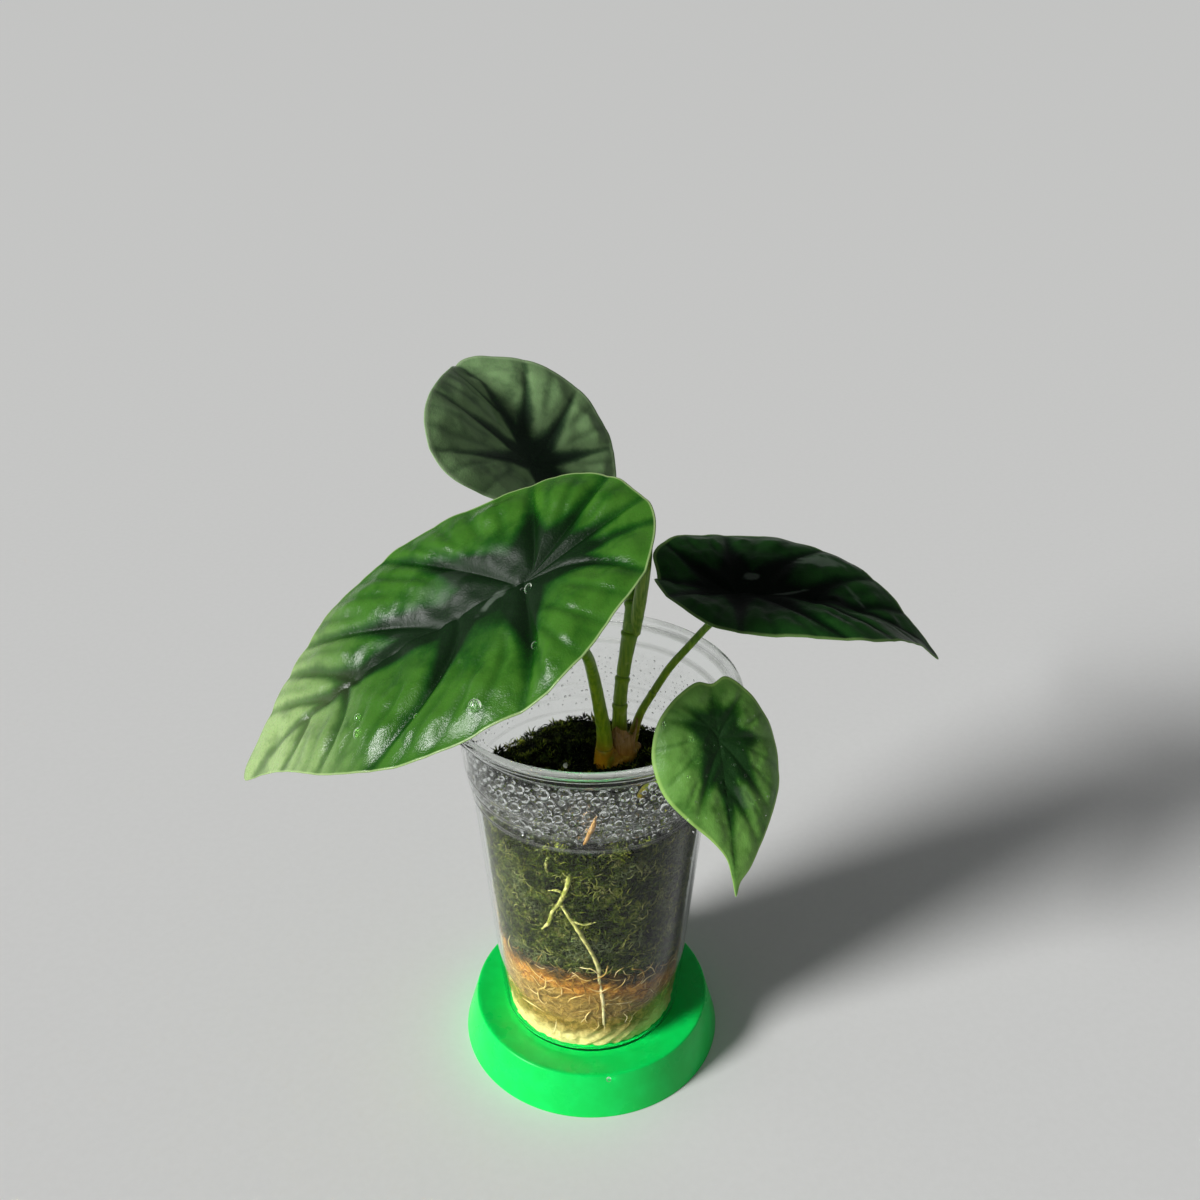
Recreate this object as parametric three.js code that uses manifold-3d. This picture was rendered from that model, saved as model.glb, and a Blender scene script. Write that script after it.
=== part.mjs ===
// Potted Alocasia sinuata: a clear ribbed cup of moss on an upturned green saucer,
// with four shield-shaped quilted leaves, a rolled new leaf and roots against the cup's wall.
// Millimetres, +Z up. The origin is the middle of the whole plant's box, on the surface that the saucer
// stands on. +X is to the right and +Y is away from the side the plant is seen from.
// Every piece is drawn about the cup's own axis, and moved to its place at the end.
import * as THREE from 'three';
import { mergeVertices } from 'three/addons/utils/BufferGeometryUtils.js';
import Module from 'manifold-3d';

// Driving dimensions
const CUP_AXIS = [-2.1, -2.6];   // where the cup's axis stands, a little off the middle of the plant's box
const GAP = 0.3;                 // clearance between pieces that touch
const SIDES = 40;                // facets round the cup, the saucer and the moss
const SHORTEST_EDGE = 0.06;      // an edge shorter than this is drawn in to a point after a cut
const SAUCER_TOP_Z = 15.1;
const SAUCER_TOP_R = 40.6;
const SAUCER_BASE_R = 44.7;
const SAUCER_WALL = 1.6;
const SAUCER_SEAT_Z = 13.5;      // the sunk face that the cup stands on
const SAUCER_SEAT_R = 38.6;
const CUP_FOOT_Z = SAUCER_SEAT_Z + GAP;
const CUP_FOOT_R = 30.4;
const CUP_FLOOR_R = 28.2;        // the flat part of the floor, inside its rounded edge
const CUP_WALL_SLOPE = 0.083;    // how fast the wall's radius grows with height
const CUP_WALL = 0.9;
const CUP_LEDGE_Z = 132.5;
const CUP_LEDGE_R = 43.6;
const CUP_NECK_R = 44.3;         // the short band between the ledge and the rolled lip
const CUP_LIP_Z = 138.1;
const CUP_LIP_WIDTH = 1.9;
const CUP_RIM_Z = 141.5;
const CUP_RIM_R = 47.5;
const STACKING_RIBS_Z = [107, 112, 117];
const RIB_STEP = 0.5;            // how far the wall steps out at each stacking rib
const RIB_RISE = 1.3;
const MOSS_TOP_Z = 105;
const MOSS_FOOT_R = 26.8;        // the moss's radius on the floor, where it follows the rounded edge
const MOSS_FOOT_SLOPE = 1.1;
const BASE_MOSS_TOP_Z = 47;
const BLADE_THICKNESS = 0.9;
const BLADE_RINGS = [0.16, 0.34, 0.52, 0.70, 0.87, 1];
const QUILT_REACH = 0.19;        // share of a blade's half width over which the quilting rises from a vein
const STALK_SQUARE = 3.5;        // length of stalk that stands square to its blade
const CROWN = { centre: [8.9, 13.4, 102.5], halfLength: 9.5, halfWidth: 5.6, halfHeight: 8, heading: 45 };
const DRIED_SHEATH = {
  centre: [10.6, 13.9], radius: 4, thickness: 0.7, bottomZ: 105, topZ: 117.5,
  startAngle: -172, sweep: 184, tear: 2.6,
};

// Stems as [x, y, z, radius], from the crown to the underside of their blades
const STEM_FRONT = [
  [4.5, 9, 105, 2.5], [4.4, 8.2, 117, 2.4], [3.2, 5, 128, 2.2], [0.6, 0, 146, 1.9],
  [-1.5, -8, 157.5, 1.7], [-7.5, -18, 171, 1.5],
];
const STEM_BACK = [
  [9.8, 14, 105, 2.3], [9.7, 15, 126, 2.1], [11.2, 17, 139.5, 2.0], [12.7, 17.6, 150, 2.4],
  [13.3, 18.6, 160, 2.3], [11.5, 24, 169, 1.6], [4, 34, 178, 1.4], [-8, 44, 185, 1.3], [-18, 48, 189.5, 1.3],
];
const STEM_RIGHT = [
  [13.3, 18.4, 105, 1.6], [16.3, 18.8, 117.5, 1.4], [21.1, 18.5, 127.5, 1.3], [25.7, 17, 137, 1.3],
  [31.7, 15, 146.5, 1.25], [38, 12, 156.5, 1.2],
];
const STEM_SMALL = [
  [15.5, -9, 96, 1.3], [16, -10.5, 107, 1.25], [20.8, -24, 124, 1.15], [23.8, -31.5, 138, 1.1],
  [28.2, -37.6, 147, 1.05],
];
const NEW_LEAF = [
  [14.7, 16.9, 152, 0.9], [15.2, 15.4, 160, 1.35], [16.2, 13.8, 168, 1.3], [17.4, 12.8, 177, 1.0],
  [18.7, 12, 186.5, 0.35],
];

// Roots as [x, y, z, radius]: under the crown, then out to the cup's wall and down it
const ROOT_MAIN = [
  [8, 12.5, 93.5, 1.2], [5, 3, 92, 1.1], [-2, -20, 95, 1.0], [-6.4, -33.2, 94, 1.0],
  [-7.9, -33.2, 88, 0.95], [-10.1, -31.9, 81.5, 0.95],
];
const ROOT_LEFT = [[-9.6, -32.1, 82.5, 0.8], [-12.4, -30.6, 76, 0.75], [-15.6, -28.4, 68.5, 0.6]];
const ROOT_RIGHT = [
  [-9.6, -32.1, 82.5, 0.8], [-6.4, -32.4, 76, 0.8], [-3.4, -32.6, 70, 0.8], [0, -31.9, 61.5, 0.8],
  [2.2, -31.1, 54, 0.8], [3.2, -30.0, 42, 0.7], [4.0, -28.9, 27, 0.55],
];
const ROOT_SHORT = [
  [8, 12.5, 93.5, 1.0], [2, -2, 96, 0.9], [-12.5, -30.5, 99.5, 0.8], [-13.6, -31.3, 97, 0.7],
  [-13.2, -31.0, 93.5, 0.5],
];

// Blades. A blade is drawn flat as s along its midrib, from the stalk towards the tip, and v to its left.
// heading turns it about +Z from +X, rise lifts the tip, roll lifts its left half, droop and backDroop bend
// the midrib down ahead of and behind the stalk, fold and arch raise each half and lower its margin again.
// Each vein is [where it leaves the midrib, where it meets the margin, how far out that is].
const BLADES = {
  blade_front: {
    stalk: [-18, -27, 191], heading: 183, rise: -30, roll: -18, length: 111, backLength: 40, halfWidth: 41,
    droop: 31, droopPower: 2, backDroop: 10, fold: 0.45, arch: 0.40, quilt: 2.4,
    outline: [[111, -4], [100, 3], [87, 12], [68, 27], [50, 37], [34, 42], [17, 43], [1, 42], [-10, 37],
      [-21, 29], [-31, 20], [-38, 6], [-40, -7], [-35, -15], [-36, -21], [-29, -26], [-17, -31], [1, -35],
      [21, -38], [37, -38], [50, -35], [64, -30], [77, -23], [88, -16], [101, -9]],
    leftVeins: [[0, -33, 17], [0, 8, 42], [21, 52, 34], [60, 72, 23], [76, 88, 11]],
    rightVeins: [[0, -31, -21], [0, -10, -32], [4, 40, -37], [29, 70, -27], [58, 82, -20], [70, 91, -14]],
  },
  blade_back: {
    stalk: [-18.4, 42, 198.2], heading: 131, rise: 42, roll: 10, length: 68, backLength: 29, halfWidth: 36,
    droop: 75, droopPower: 2, backDroop: -18, fold: 0.48, arch: 0.20, quilt: 1.6,
    outline: [[45, -3], [42.5, 2], [36.5, 11], [30, 22], [23, 33], [15, 41], [5, 44.5], [-5, 42.5],
      [-12.5, 35], [-20, 25], [-27, 12], [-24, 1], [-27, -10], [-22, -18], [-13, -24], [-4, -28.5],
      [6, -30], [16, -29], [25, -25], [33.5, -18.5], [39.5, -11.5], [43.5, -7]],
    leftVeins: [[0, -24, 16], [0, 6, 42], [2, 26, 27], [20, 38, 9]],
    rightVeins: [[0, -22, -16], [0, -6, -28], [0, 16, -28], [10, 33, -18]],
  },
  blade_right: {
    stalk: [45, 9, 168], heading: -2, rise: -2, roll: -2, length: 69, backLength: 28, halfWidth: 34,
    droop: 43, droopPower: 1.55, backDroop: -23, fold: 0.34, arch: 0.20, quilt: 1.5,
    outline: [[69, 0], [64, 3], [56, 9], [46, 20], [34, 28.5], [22, 33], [8, 35], [-5, 33.5], [-15, 29.5],
      [-23, 21], [-27.5, 10], [-25, 0], [-27.5, -10], [-23, -21], [-15, -29.5], [-5, -33.5], [8, -35],
      [22, -33], [34, -29], [46, -20], [56, -9.5], [64, -3]],
    leftVeins: [[0, -23, 18], [0, -2, 34], [8, 30, 31], [24, 45, 21], [38, 55, 10]],
    rightVeins: [[0, -23, -18], [0, -2, -34], [6, 28, -31], [22, 44, -22], [37, 55, -10]],
  },
  blade_small: {
    stalk: [35, -45, 152], heading: -75, rise: -58, roll: -5, length: 44, backLength: 16, halfWidth: 18,
    droop: 15, droopPower: 2, backDroop: 0, fold: 0.15, arch: 0.20, quilt: 0.9,
    outline: [[44, 0], [40, 1.5], [36, 5], [30, 9], [24, 13], [17, 17], [9, 18.5], [1, 18], [-6, 15],
      [-12, 10.5], [-16.5, 4.5], [-15, 0.5], [-16, -4], [-13, -10], [-8, -15], [-1, -18], [6, -18.5],
      [14, -16.5], [21, -11.5], [27, -6], [33, -2], [39, -0.8]],
    leftVeins: [[0, -12, 10], [0, 3, 18], [3, 20, 15], [14, 31, 8]],
    rightVeins: [[0, -12, -10], [0, -6, -16], [4, 18, -14], [15, 29, -5]],
  },
};

const MATERIALS = {
  green_plastic: { color: 0x05d967, roughness: 0.3 },
  clear_plastic: { color: 0xe6ecea, roughness: 0.08, transparent: true, opacity: 0.3 },
  dark_moss: { color: 0x39431c, roughness: 0.95 },
  pale_moss: { color: 0xb08c55, roughness: 0.95 },
  root: { color: 0xb9b878, roughness: 0.6 },
  crown: { color: 0xb8801f, roughness: 0.6 },
  dry_sheath: { color: 0xc39a6a, roughness: 0.8 },
  stalk: { color: 0x8fa640, roughness: 0.45 },
  leaf_deep: { color: 0x2e7d22, roughness: 0.3 },
  leaf_dull: { color: 0x5d7a55, roughness: 0.5 },
  leaf_dark: { color: 0x1d4a26, roughness: 0.3 },
  leaf_light: { color: 0x5fa044, roughness: 0.35 },
};

const wasm = await Module();
wasm.setup();

// Builds a geometry from vertices and triangles, with its faces pointing out.
function closedGeometry(vertices, triangles) {
  let volume = 0;
  for (const [a, b, c] of triangles) {
    const [p, q, r] = [vertices[a], vertices[b], vertices[c]];
    volume += p.dot(new THREE.Vector3().crossVectors(q, r));
  }
  const outward = volume >= 0 ? triangles : triangles.map(([a, b, c]) => [a, c, b]);
  const positions = vertices.flatMap((vertex) => vertex.toArray());
  const geometry = new THREE.BufferGeometry();
  geometry.setAttribute('position', new THREE.Float32BufferAttribute(positions, 3));
  geometry.setIndex(outward.flat());
  return geometry;
}

function toSolid(geometry) {
  const bare = geometry.clone();
  bare.deleteAttribute('normal');
  bare.deleteAttribute('uv');
  const merged = mergeVertices(bare, 1e-4);
  return new wasm.Manifold(new wasm.Mesh({
    numProp: 3,
    vertProperties: Float32Array.from(merged.attributes.position.array),
    triVerts: Uint32Array.from(merged.index.array),
  }));
}

// Draws a solid's shortest edges in to points, so that no cut leaves a sliver.
function toGeometry(solid) {
  const mesh = solid.getMesh();
  const vertices = [];
  for (let i = 0; i < mesh.vertProperties.length; i += 3) {
    vertices.push(new THREE.Vector3().fromArray(mesh.vertProperties, i));
  }
  let triangles = [];
  for (let i = 0; i < mesh.triVerts.length; i += 3) {
    triangles.push(Array.from(mesh.triVerts.slice(i, i + 3)));
  }
  for (let found = true; found;) {
    found = false;
    const target = vertices.map((unused, i) => i);
    const touched = new Set();
    for (const triangle of triangles) {
      for (let k = 0; k < 3; k += 1) {
        const [a, b] = [triangle[k], triangle[(k + 1) % 3]];
        const isShort = vertices[a].distanceTo(vertices[b]) <= SHORTEST_EDGE;
        if (touched.has(a) || touched.has(b) || !isShort) continue;
        target[b] = a;
        touched.add(a).add(b);
        found = true;
      }
    }
    triangles = triangles
      .map((triangle) => triangle.map((i) => target[i]))
      .filter(([a, b, c]) => a !== b && b !== c && c !== a);
  }
  return closedGeometry(vertices, triangles);
}

function without(solid, cutters) {
  return cutters.reduce((left, cutter) => left.subtract(cutter), solid);
}

// Turns a closed profile of [radius, height] pairs about +Z.
function turned(profile) {
  const points = profile.map(([radius, z]) => new THREE.Vector2(radius, z));
  const lathe = new THREE.LatheGeometry(points, SIDES);
  lathe.rotateX(Math.PI / 2);
  lathe.deleteAttribute('normal');
  lathe.deleteAttribute('uv');
  const { attributes: { position }, index } = mergeVertices(lathe, 1e-4);
  const vertices = [];
  for (let i = 0; i < position.count; i += 1) {
    vertices.push(new THREE.Vector3().fromBufferAttribute(position, i));
  }
  const triangles = [];
  for (let i = 0; i < index.count; i += 3) {
    const [a, b, c] = [index.getX(i), index.getX(i + 1), index.getX(i + 2)];
    if (a !== b && b !== c && c !== a) triangles.push([a, b, c]);
  }
  return toGeometry(toSolid(closedGeometry(vertices, triangles)));
}

// A closed tube through [x, y, z, radius] stations, tapered between them; grow widens it on every side.
function stem(stations, sides, steps, grow) {
  const points = stations.map(([x, y, z]) => new THREE.Vector3(x, y, z));
  const curve = new THREE.CatmullRomCurve3(points, false, 'centripetal');
  const frames = curve.computeFrenetFrames(steps, false);
  const vertices = [];
  for (let i = 0; i <= steps; i += 1) {
    const centre = curve.getPointAt(i / steps);
    const station = curve.getUtoTmapping(i / steps) * (stations.length - 1);
    const before = Math.min(Math.floor(station), stations.length - 2);
    const [thick, thin] = [stations[before][3], stations[before + 1][3]];
    const radius = THREE.MathUtils.lerp(thick, thin, station - before) + grow;
    for (let k = 0; k < sides; k += 1) {
      const angle = (2 * Math.PI * k) / sides;
      vertices.push(centre.clone()
        .addScaledVector(frames.normals[i], radius * Math.cos(angle))
        .addScaledVector(frames.binormals[i], radius * Math.sin(angle)));
    }
  }
  const first = vertices.push(curve.getPointAt(0).addScaledVector(frames.tangents[0], -grow)) - 1;
  const last = vertices.push(curve.getPointAt(1).addScaledVector(frames.tangents[steps], grow)) - 1;
  const triangles = [];
  for (let k = 0; k < sides; k += 1) {
    const next = (k + 1) % sides;
    triangles.push([first, next, k], [last, steps * sides + k, steps * sides + next]);
    for (let i = 0; i < steps; i += 1) {
      const [a, b] = [i * sides + k, i * sides + next];
      triangles.push([a, b, b + sides], [a, b + sides, a + sides]);
    }
  }
  return toSolid(closedGeometry(vertices, triangles));
}

// The blade's own directions: along the midrib, to its left, and out of its upper face.
function bladeAxes(blade) {
  const heading = THREE.MathUtils.degToRad(blade.heading);
  const rise = THREE.MathUtils.degToRad(blade.rise);
  const roll = THREE.MathUtils.degToRad(blade.roll);
  const along = new THREE.Vector3(
    Math.cos(rise) * Math.cos(heading), Math.cos(rise) * Math.sin(heading), Math.sin(rise));
  const level = new THREE.Vector3(-Math.sin(heading), Math.cos(heading), 0);
  const up = new THREE.Vector3().crossVectors(along, level);
  const left = level.clone().multiplyScalar(Math.cos(roll)).addScaledVector(up, Math.sin(roll));
  const out = up.clone().multiplyScalar(Math.cos(roll)).addScaledVector(level, -Math.sin(roll));
  return { along, left, out };
}

// Where the bent midrib is at s: how far along, how far down, and its slope.
function midribAt(blade, s) {
  const reach = s >= 0 ? blade.length : blade.backLength;
  const bend = THREE.MathUtils.degToRad(s >= 0 ? blade.droop : blade.backDroop);
  const power = s >= 0 ? blade.droopPower : 1;
  const share = Math.min(Math.abs(s) / reach, 1);
  const steps = 24;
  let forward = 0;
  let down = 0;
  for (let i = 0; i < steps; i += 1) {
    const slope = bend * (share * (i + 0.5) / steps) ** power;
    forward += Math.cos(slope);
    down += Math.sin(slope);
  }
  const stride = Math.abs(s) / steps;
  const side = s >= 0 ? 1 : -1;
  return { x: side * forward * stride, z: -down * stride, slope: side * bend * share ** power };
}

// A vein's course as flat points, curving forward to the margin.
function veinCourse([start, end, out]) {
  const steps = 8;
  const course = [];
  for (let i = 0; i <= steps; i += 1) {
    const share = i / steps;
    course.push([start + (end - start) * share ** 2, out * share]);
  }
  return course;
}

// Height of the quilting at (s, v): nothing on a vein, most between two of them.
function quiltAt(blade, s, v) {
  let nearest = Math.abs(v);
  for (const course of [...blade.leftVeins, ...blade.rightVeins].map(veinCourse)) {
    for (let i = 1; i < course.length; i += 1) {
      const [[startS, startV], [endS, endV]] = [course[i - 1], course[i]];
      const [alongS, alongV] = [endS - startS, endV - startV];
      const dot = (s - startS) * alongS + (v - startV) * alongV;
      const share = THREE.MathUtils.clamp(dot / (alongS ** 2 + alongV ** 2), 0, 1);
      nearest = Math.min(nearest, Math.hypot(s - startS - share * alongS, v - startV - share * alongV));
    }
  }
  const swell = Math.min(nearest / (QUILT_REACH * blade.halfWidth), 1);
  return blade.quilt * Math.sin(swell * Math.PI / 2);
}

function bladePoint(blade, axes, s, v, offset) {
  const midrib = midribAt(blade, s);
  const dished = blade.fold * Math.abs(v) - blade.arch * v * v / blade.halfWidth;
  const edgeFade = 1 - Math.min(Math.hypot(s / blade.length, v / blade.halfWidth), 1) ** 4;
  const lift = dished + quiltAt(blade, s, v) * edgeFade + offset;
  return new THREE.Vector3(...blade.stalk)
    .addScaledVector(axes.along, midrib.x + lift * Math.sin(midrib.slope))
    .addScaledVector(axes.out, midrib.z + lift * Math.cos(midrib.slope))
    .addScaledVector(axes.left, v);
}

// A blade as one thin closed body, split into triangles alike on both faces, in rings round its stalk.
function bladeGeometry(blade) {
  const axes = bladeAxes(blade);
  const loop = new THREE.CatmullRomCurve3(
    blade.outline.map(([s, v]) => new THREE.Vector3(s, v, 0)), true, 'centripetal');
  const rays = blade.outline.length * 2;
  const margin = loop.getPoints(rays).slice(0, rays);
  const vertices = [];
  for (const offset of [BLADE_THICKNESS / 2, -BLADE_THICKNESS / 2]) {
    vertices.push(bladePoint(blade, axes, 0, 0, offset));
    for (const share of BLADE_RINGS) {
      for (const { x, y } of margin) vertices.push(bladePoint(blade, axes, x * share, y * share, offset));
    }
  }
  const faceSize = 1 + BLADE_RINGS.length * rays;
  const rim = 1 + (BLADE_RINGS.length - 1) * rays;
  const triangles = [];
  for (let k = 0; k < rays; k += 1) {
    const next = (k + 1) % rays;
    triangles.push([0, 1 + k, 1 + next], [faceSize, faceSize + 1 + next, faceSize + 1 + k]);
    for (let ring = 1; ring < BLADE_RINGS.length; ring += 1) {
      const [a, b] = [1 + (ring - 1) * rays + k, 1 + (ring - 1) * rays + next];
      const [c, d] = [a + rays, b + rays];
      triangles.push([a, c, d], [a, d, b]);
      triangles.push([a + faceSize, d + faceSize, c + faceSize], [a + faceSize, b + faceSize, d + faceSize]);
    }
    const [a, b] = [rim + k, rim + next];
    triangles.push([a, a + faceSize, b + faceSize], [a, b + faceSize, b]);
  }
  return closedGeometry(vertices, triangles);
}

// The stem's last stations, which bring it up square to the underside of its blade.
function reachBlade(stations, blade) {
  const { out } = bladeAxes(blade);
  const radius = stations[stations.length - 1][3];
  const below = (distance) => {
    const point = new THREE.Vector3(...blade.stalk).addScaledVector(out, -distance);
    return [...point.toArray(), radius];
  };
  return [...stations, below(STALK_SQUARE), below(BLADE_THICKNESS / 2 + GAP)];
}

// The upturned saucer: a sunk seat, a narrow rim and a flared wall, hollow underneath.
function saucer() {
  const seatUnderZ = SAUCER_SEAT_Z - SAUCER_WALL;
  return turned([
    [0, SAUCER_SEAT_Z], [SAUCER_SEAT_R, SAUCER_SEAT_Z], [SAUCER_SEAT_R + 0.6, SAUCER_TOP_Z],
    [SAUCER_TOP_R - 0.3, SAUCER_TOP_Z], [SAUCER_TOP_R, SAUCER_TOP_Z - 0.4], [SAUCER_BASE_R - 0.5, 2],
    [SAUCER_BASE_R, 0.3], [SAUCER_BASE_R - 0.2, 0], [SAUCER_BASE_R - SAUCER_WALL, 0],
    [SAUCER_TOP_R - SAUCER_WALL + 0.4, seatUnderZ - 0.6], [SAUCER_TOP_R - 2 * SAUCER_WALL, seatUnderZ],
    [0, seatUnderZ],
  ]);
}

// The cup's outer wall radius at a height between its foot and the ledge under its rim.
function cupWallRadius(z) {
  const ribsBelow = STACKING_RIBS_Z.filter((ribZ) => z >= ribZ).length;
  return CUP_FOOT_R + (z - CUP_FOOT_Z) * CUP_WALL_SLOPE + ribsBelow * RIB_STEP;
}

function cup() {
  const wallFootZ = CUP_FOOT_Z + 2.6;
  const outer = [
    [0, CUP_FOOT_Z], [CUP_FLOOR_R, CUP_FOOT_Z], [CUP_FLOOR_R + 1.6, CUP_FOOT_Z + 0.7],
    [cupWallRadius(wallFootZ), wallFootZ],
  ];
  for (const ribZ of STACKING_RIBS_Z) {
    outer.push([cupWallRadius(ribZ - RIB_RISE), ribZ - RIB_RISE], [cupWallRadius(ribZ), ribZ]);
  }
  outer.push(
    [cupWallRadius(CUP_LEDGE_Z), CUP_LEDGE_Z], [CUP_LEDGE_R, CUP_LEDGE_Z + 1.1],
    [CUP_NECK_R, CUP_LIP_Z - 1.1], [CUP_NECK_R + 1.3, CUP_LIP_Z]);
  const lip = [
    [CUP_RIM_R - 0.6, CUP_LIP_Z], [CUP_RIM_R, CUP_LIP_Z + 0.8], [CUP_RIM_R, CUP_RIM_Z - 0.8],
    [CUP_RIM_R - 0.7, CUP_RIM_Z], [CUP_RIM_R - CUP_LIP_WIDTH, CUP_RIM_Z],
  ];
  const inner = [...outer].reverse().map(([radius, z]) => {
    const isFloor = z < wallFootZ + 1;
    return [Math.max(radius - CUP_WALL, 0), z + (isFloor ? CUP_WALL : 0.2)];
  });
  return turned([...outer, ...lip, ...inner]);
}

function mossRadius(z) {
  const atWall = cupWallRadius(z) - CUP_WALL - GAP - 0.1;
  const atFoot = MOSS_FOOT_R + (z - CUP_FOOT_Z - CUP_WALL) * MOSS_FOOT_SLOPE;
  return Math.min(atWall, atFoot);
}

// Moss filling the cup between two heights, each a function of the angle and the share of the radius.
function mossBody(bottomAt, topAt, topRings, layers) {
  const bottomRings = [1, 0.5];
  const angles = Array.from({ length: SIDES }, (unused, k) => (2 * Math.PI * k) / SIDES);
  const vertices = [];
  const addRing = (share, heightAt) => {
    for (const angle of angles) {
      const z = heightAt(angle);
      const radius = mossRadius(z) * share;
      vertices.push(new THREE.Vector3(radius * Math.cos(angle), radius * Math.sin(angle), z));
    }
  };
  vertices.push(new THREE.Vector3(0, 0, topAt(0, 0)));
  for (const share of topRings) addRing(share, (angle) => topAt(angle, share));
  for (let layer = 1; layer < layers; layer += 1) {
    addRing(1, (angle) => THREE.MathUtils.lerp(topAt(angle, 1), bottomAt(angle, 1), layer / layers));
  }
  for (const share of bottomRings) addRing(share, (angle) => bottomAt(angle, share));
  const bottom = vertices.push(new THREE.Vector3(0, 0, bottomAt(0, 0))) - 1;
  const bands = topRings.length + bottomRings.length + layers - 2;
  const triangles = [];
  for (let k = 0; k < SIDES; k += 1) {
    const next = (k + 1) % SIDES;
    triangles.push([0, 1 + k, 1 + next], [bottom, 1 + bands * SIDES + next, 1 + bands * SIDES + k]);
    for (let band = 0; band < bands; band += 1) {
      const [a, b] = [1 + band * SIDES + k, 1 + band * SIDES + next];
      triangles.push([a, a + SIDES, b + SIDES], [a, b + SIDES, b]);
    }
  }
  return toSolid(closedGeometry(vertices, triangles));
}

// The uneven line between the pale moss at the bottom and the dark moss above it, highest at the left.
function baseMossTop(angle, share) {
  return BASE_MOSS_TOP_Z + share * (5 * Math.cos(angle + 2.7) + 1.5 * Math.sin(3 * angle));
}

// The surface of the moss, uneven with tufts and a little lower at the wall.
function mossTop(angle, share) {
  const tufts = 1.8 * Math.sin(5 * angle + 9 * share) * Math.sin(7 * share + 2 * angle);
  return MOSS_TOP_Z + share * (tufts - 1.5);
}

// The swollen base that the leaf stalks grow from.
function crownSolid(grow) {
  const geometry = new THREE.SphereGeometry(1, 20, 12);
  geometry.rotateX(Math.PI / 2);
  geometry.scale(CROWN.halfLength + grow, CROWN.halfWidth + grow, CROWN.halfHeight + grow);
  geometry.rotateZ(THREE.MathUtils.degToRad(CROWN.heading));
  geometry.translate(...CROWN.centre);
  return toSolid(geometry);
}

// A papery dried stalk base that wraps the near side of the back stem, torn along its top.
function driedSheathSolid() {
  const [columns, rows] = [12, 5];
  const { centre, radius, thickness, bottomZ, topZ, startAngle, sweep, tear } = DRIED_SHEATH;
  const vertices = [];
  for (const skin of [thickness / 2, -thickness / 2]) {
    for (let i = 0; i <= columns; i += 1) {
      const angle = THREE.MathUtils.degToRad(startAngle + (sweep * i) / columns);
      const tornZ = topZ + tear * Math.sin(2.4 * i) - 0.25 * i;
      for (let j = 0; j <= rows; j += 1) {
        const share = j / rows;
        const waist = 0.5 * Math.sin(share * Math.PI);
        const flare = 0.7 * share ** 3;
        const reach = radius - waist + flare + skin;
        vertices.push(new THREE.Vector3(
          centre[0] + reach * Math.cos(angle), centre[1] + reach * Math.sin(angle),
          THREE.MathUtils.lerp(bottomZ, tornZ, share)));
      }
    }
  }
  const side = (columns + 1) * (rows + 1);
  const outer = (i, j) => i * (rows + 1) + j;
  const inner = (i, j) => outer(i, j) + side;
  const triangles = [];
  const quad = (a, b, c, d) => triangles.push([a, b, c], [a, c, d]);
  for (let i = 0; i < columns; i += 1) {
    for (let j = 0; j < rows; j += 1) {
      quad(outer(i, j), outer(i + 1, j), outer(i + 1, j + 1), outer(i, j + 1));
      quad(inner(i, j), inner(i, j + 1), inner(i + 1, j + 1), inner(i + 1, j));
    }
    quad(outer(i, 0), inner(i, 0), inner(i + 1, 0), outer(i + 1, 0));
    quad(outer(i, rows), outer(i + 1, rows), inner(i + 1, rows), inner(i, rows));
  }
  for (let j = 0; j < rows; j += 1) {
    quad(outer(0, j), outer(0, j + 1), inner(0, j + 1), inner(0, j));
    quad(outer(columns, j), inner(columns, j), inner(columns, j + 1), outer(columns, j + 1));
  }
  return toSolid(closedGeometry(vertices, triangles));
}

function stalkSolid(stations, grow = 0) {
  return stem(stations, 10, stations.length * 2, grow);
}

function rootsSolid(grow = 0) {
  return [ROOT_MAIN, ROOT_LEFT, ROOT_RIGHT, ROOT_SHORT]
    .map((stations) => stem(stations, 6, stations.length * 2, grow))
    .reduce((joined, root) => joined.add(root));
}

const stalks = {
  stalk_front: reachBlade(STEM_FRONT, BLADES.blade_front),
  stalk_back: reachBlade(STEM_BACK, BLADES.blade_back),
  stalk_right: reachBlade(STEM_RIGHT, BLADES.blade_right),
  stalk_small: reachBlade(STEM_SMALL, BLADES.blade_small),
};

// The room that each piece needs in what surrounds it
const stalkHoles = Object.values(stalks).map((stations) => stalkSolid(stations, GAP));
const rootHole = rootsSolid(GAP);
const crownHole = crownSolid(GAP);
const newLeafHole = stalkSolid(NEW_LEAF, GAP);

const darkMossBottom = (angle, share) => baseMossTop(angle, share) + GAP;
const cupFloor = () => CUP_FOOT_Z + CUP_WALL + GAP;
const darkMoss = without(
  mossBody(darkMossBottom, mossTop, [0.2, 0.4, 0.6, 0.8, 0.93, 1], 2),
  [crownHole, rootHole, ...stalkHoles, driedSheathSolid()]);
const paleMoss = without(mossBody(cupFloor, baseMossTop, [0.5, 1], 6), [rootHole]);
const crown = without(crownSolid(0), [...stalkHoles, rootHole]);
const driedSheath = without(driedSheathSolid(), [crownHole, ...stalkHoles]);

const group = new THREE.Group();

function addPiece(name, geometry, material) {
  const finish = new THREE.MeshStandardMaterial({ metalness: 0, ...MATERIALS[material] });
  const mesh = new THREE.Mesh(geometry, finish);
  mesh.name = name;
  geometry.translate(...CUP_AXIS, 0);
  group.add(mesh);
}

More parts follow.
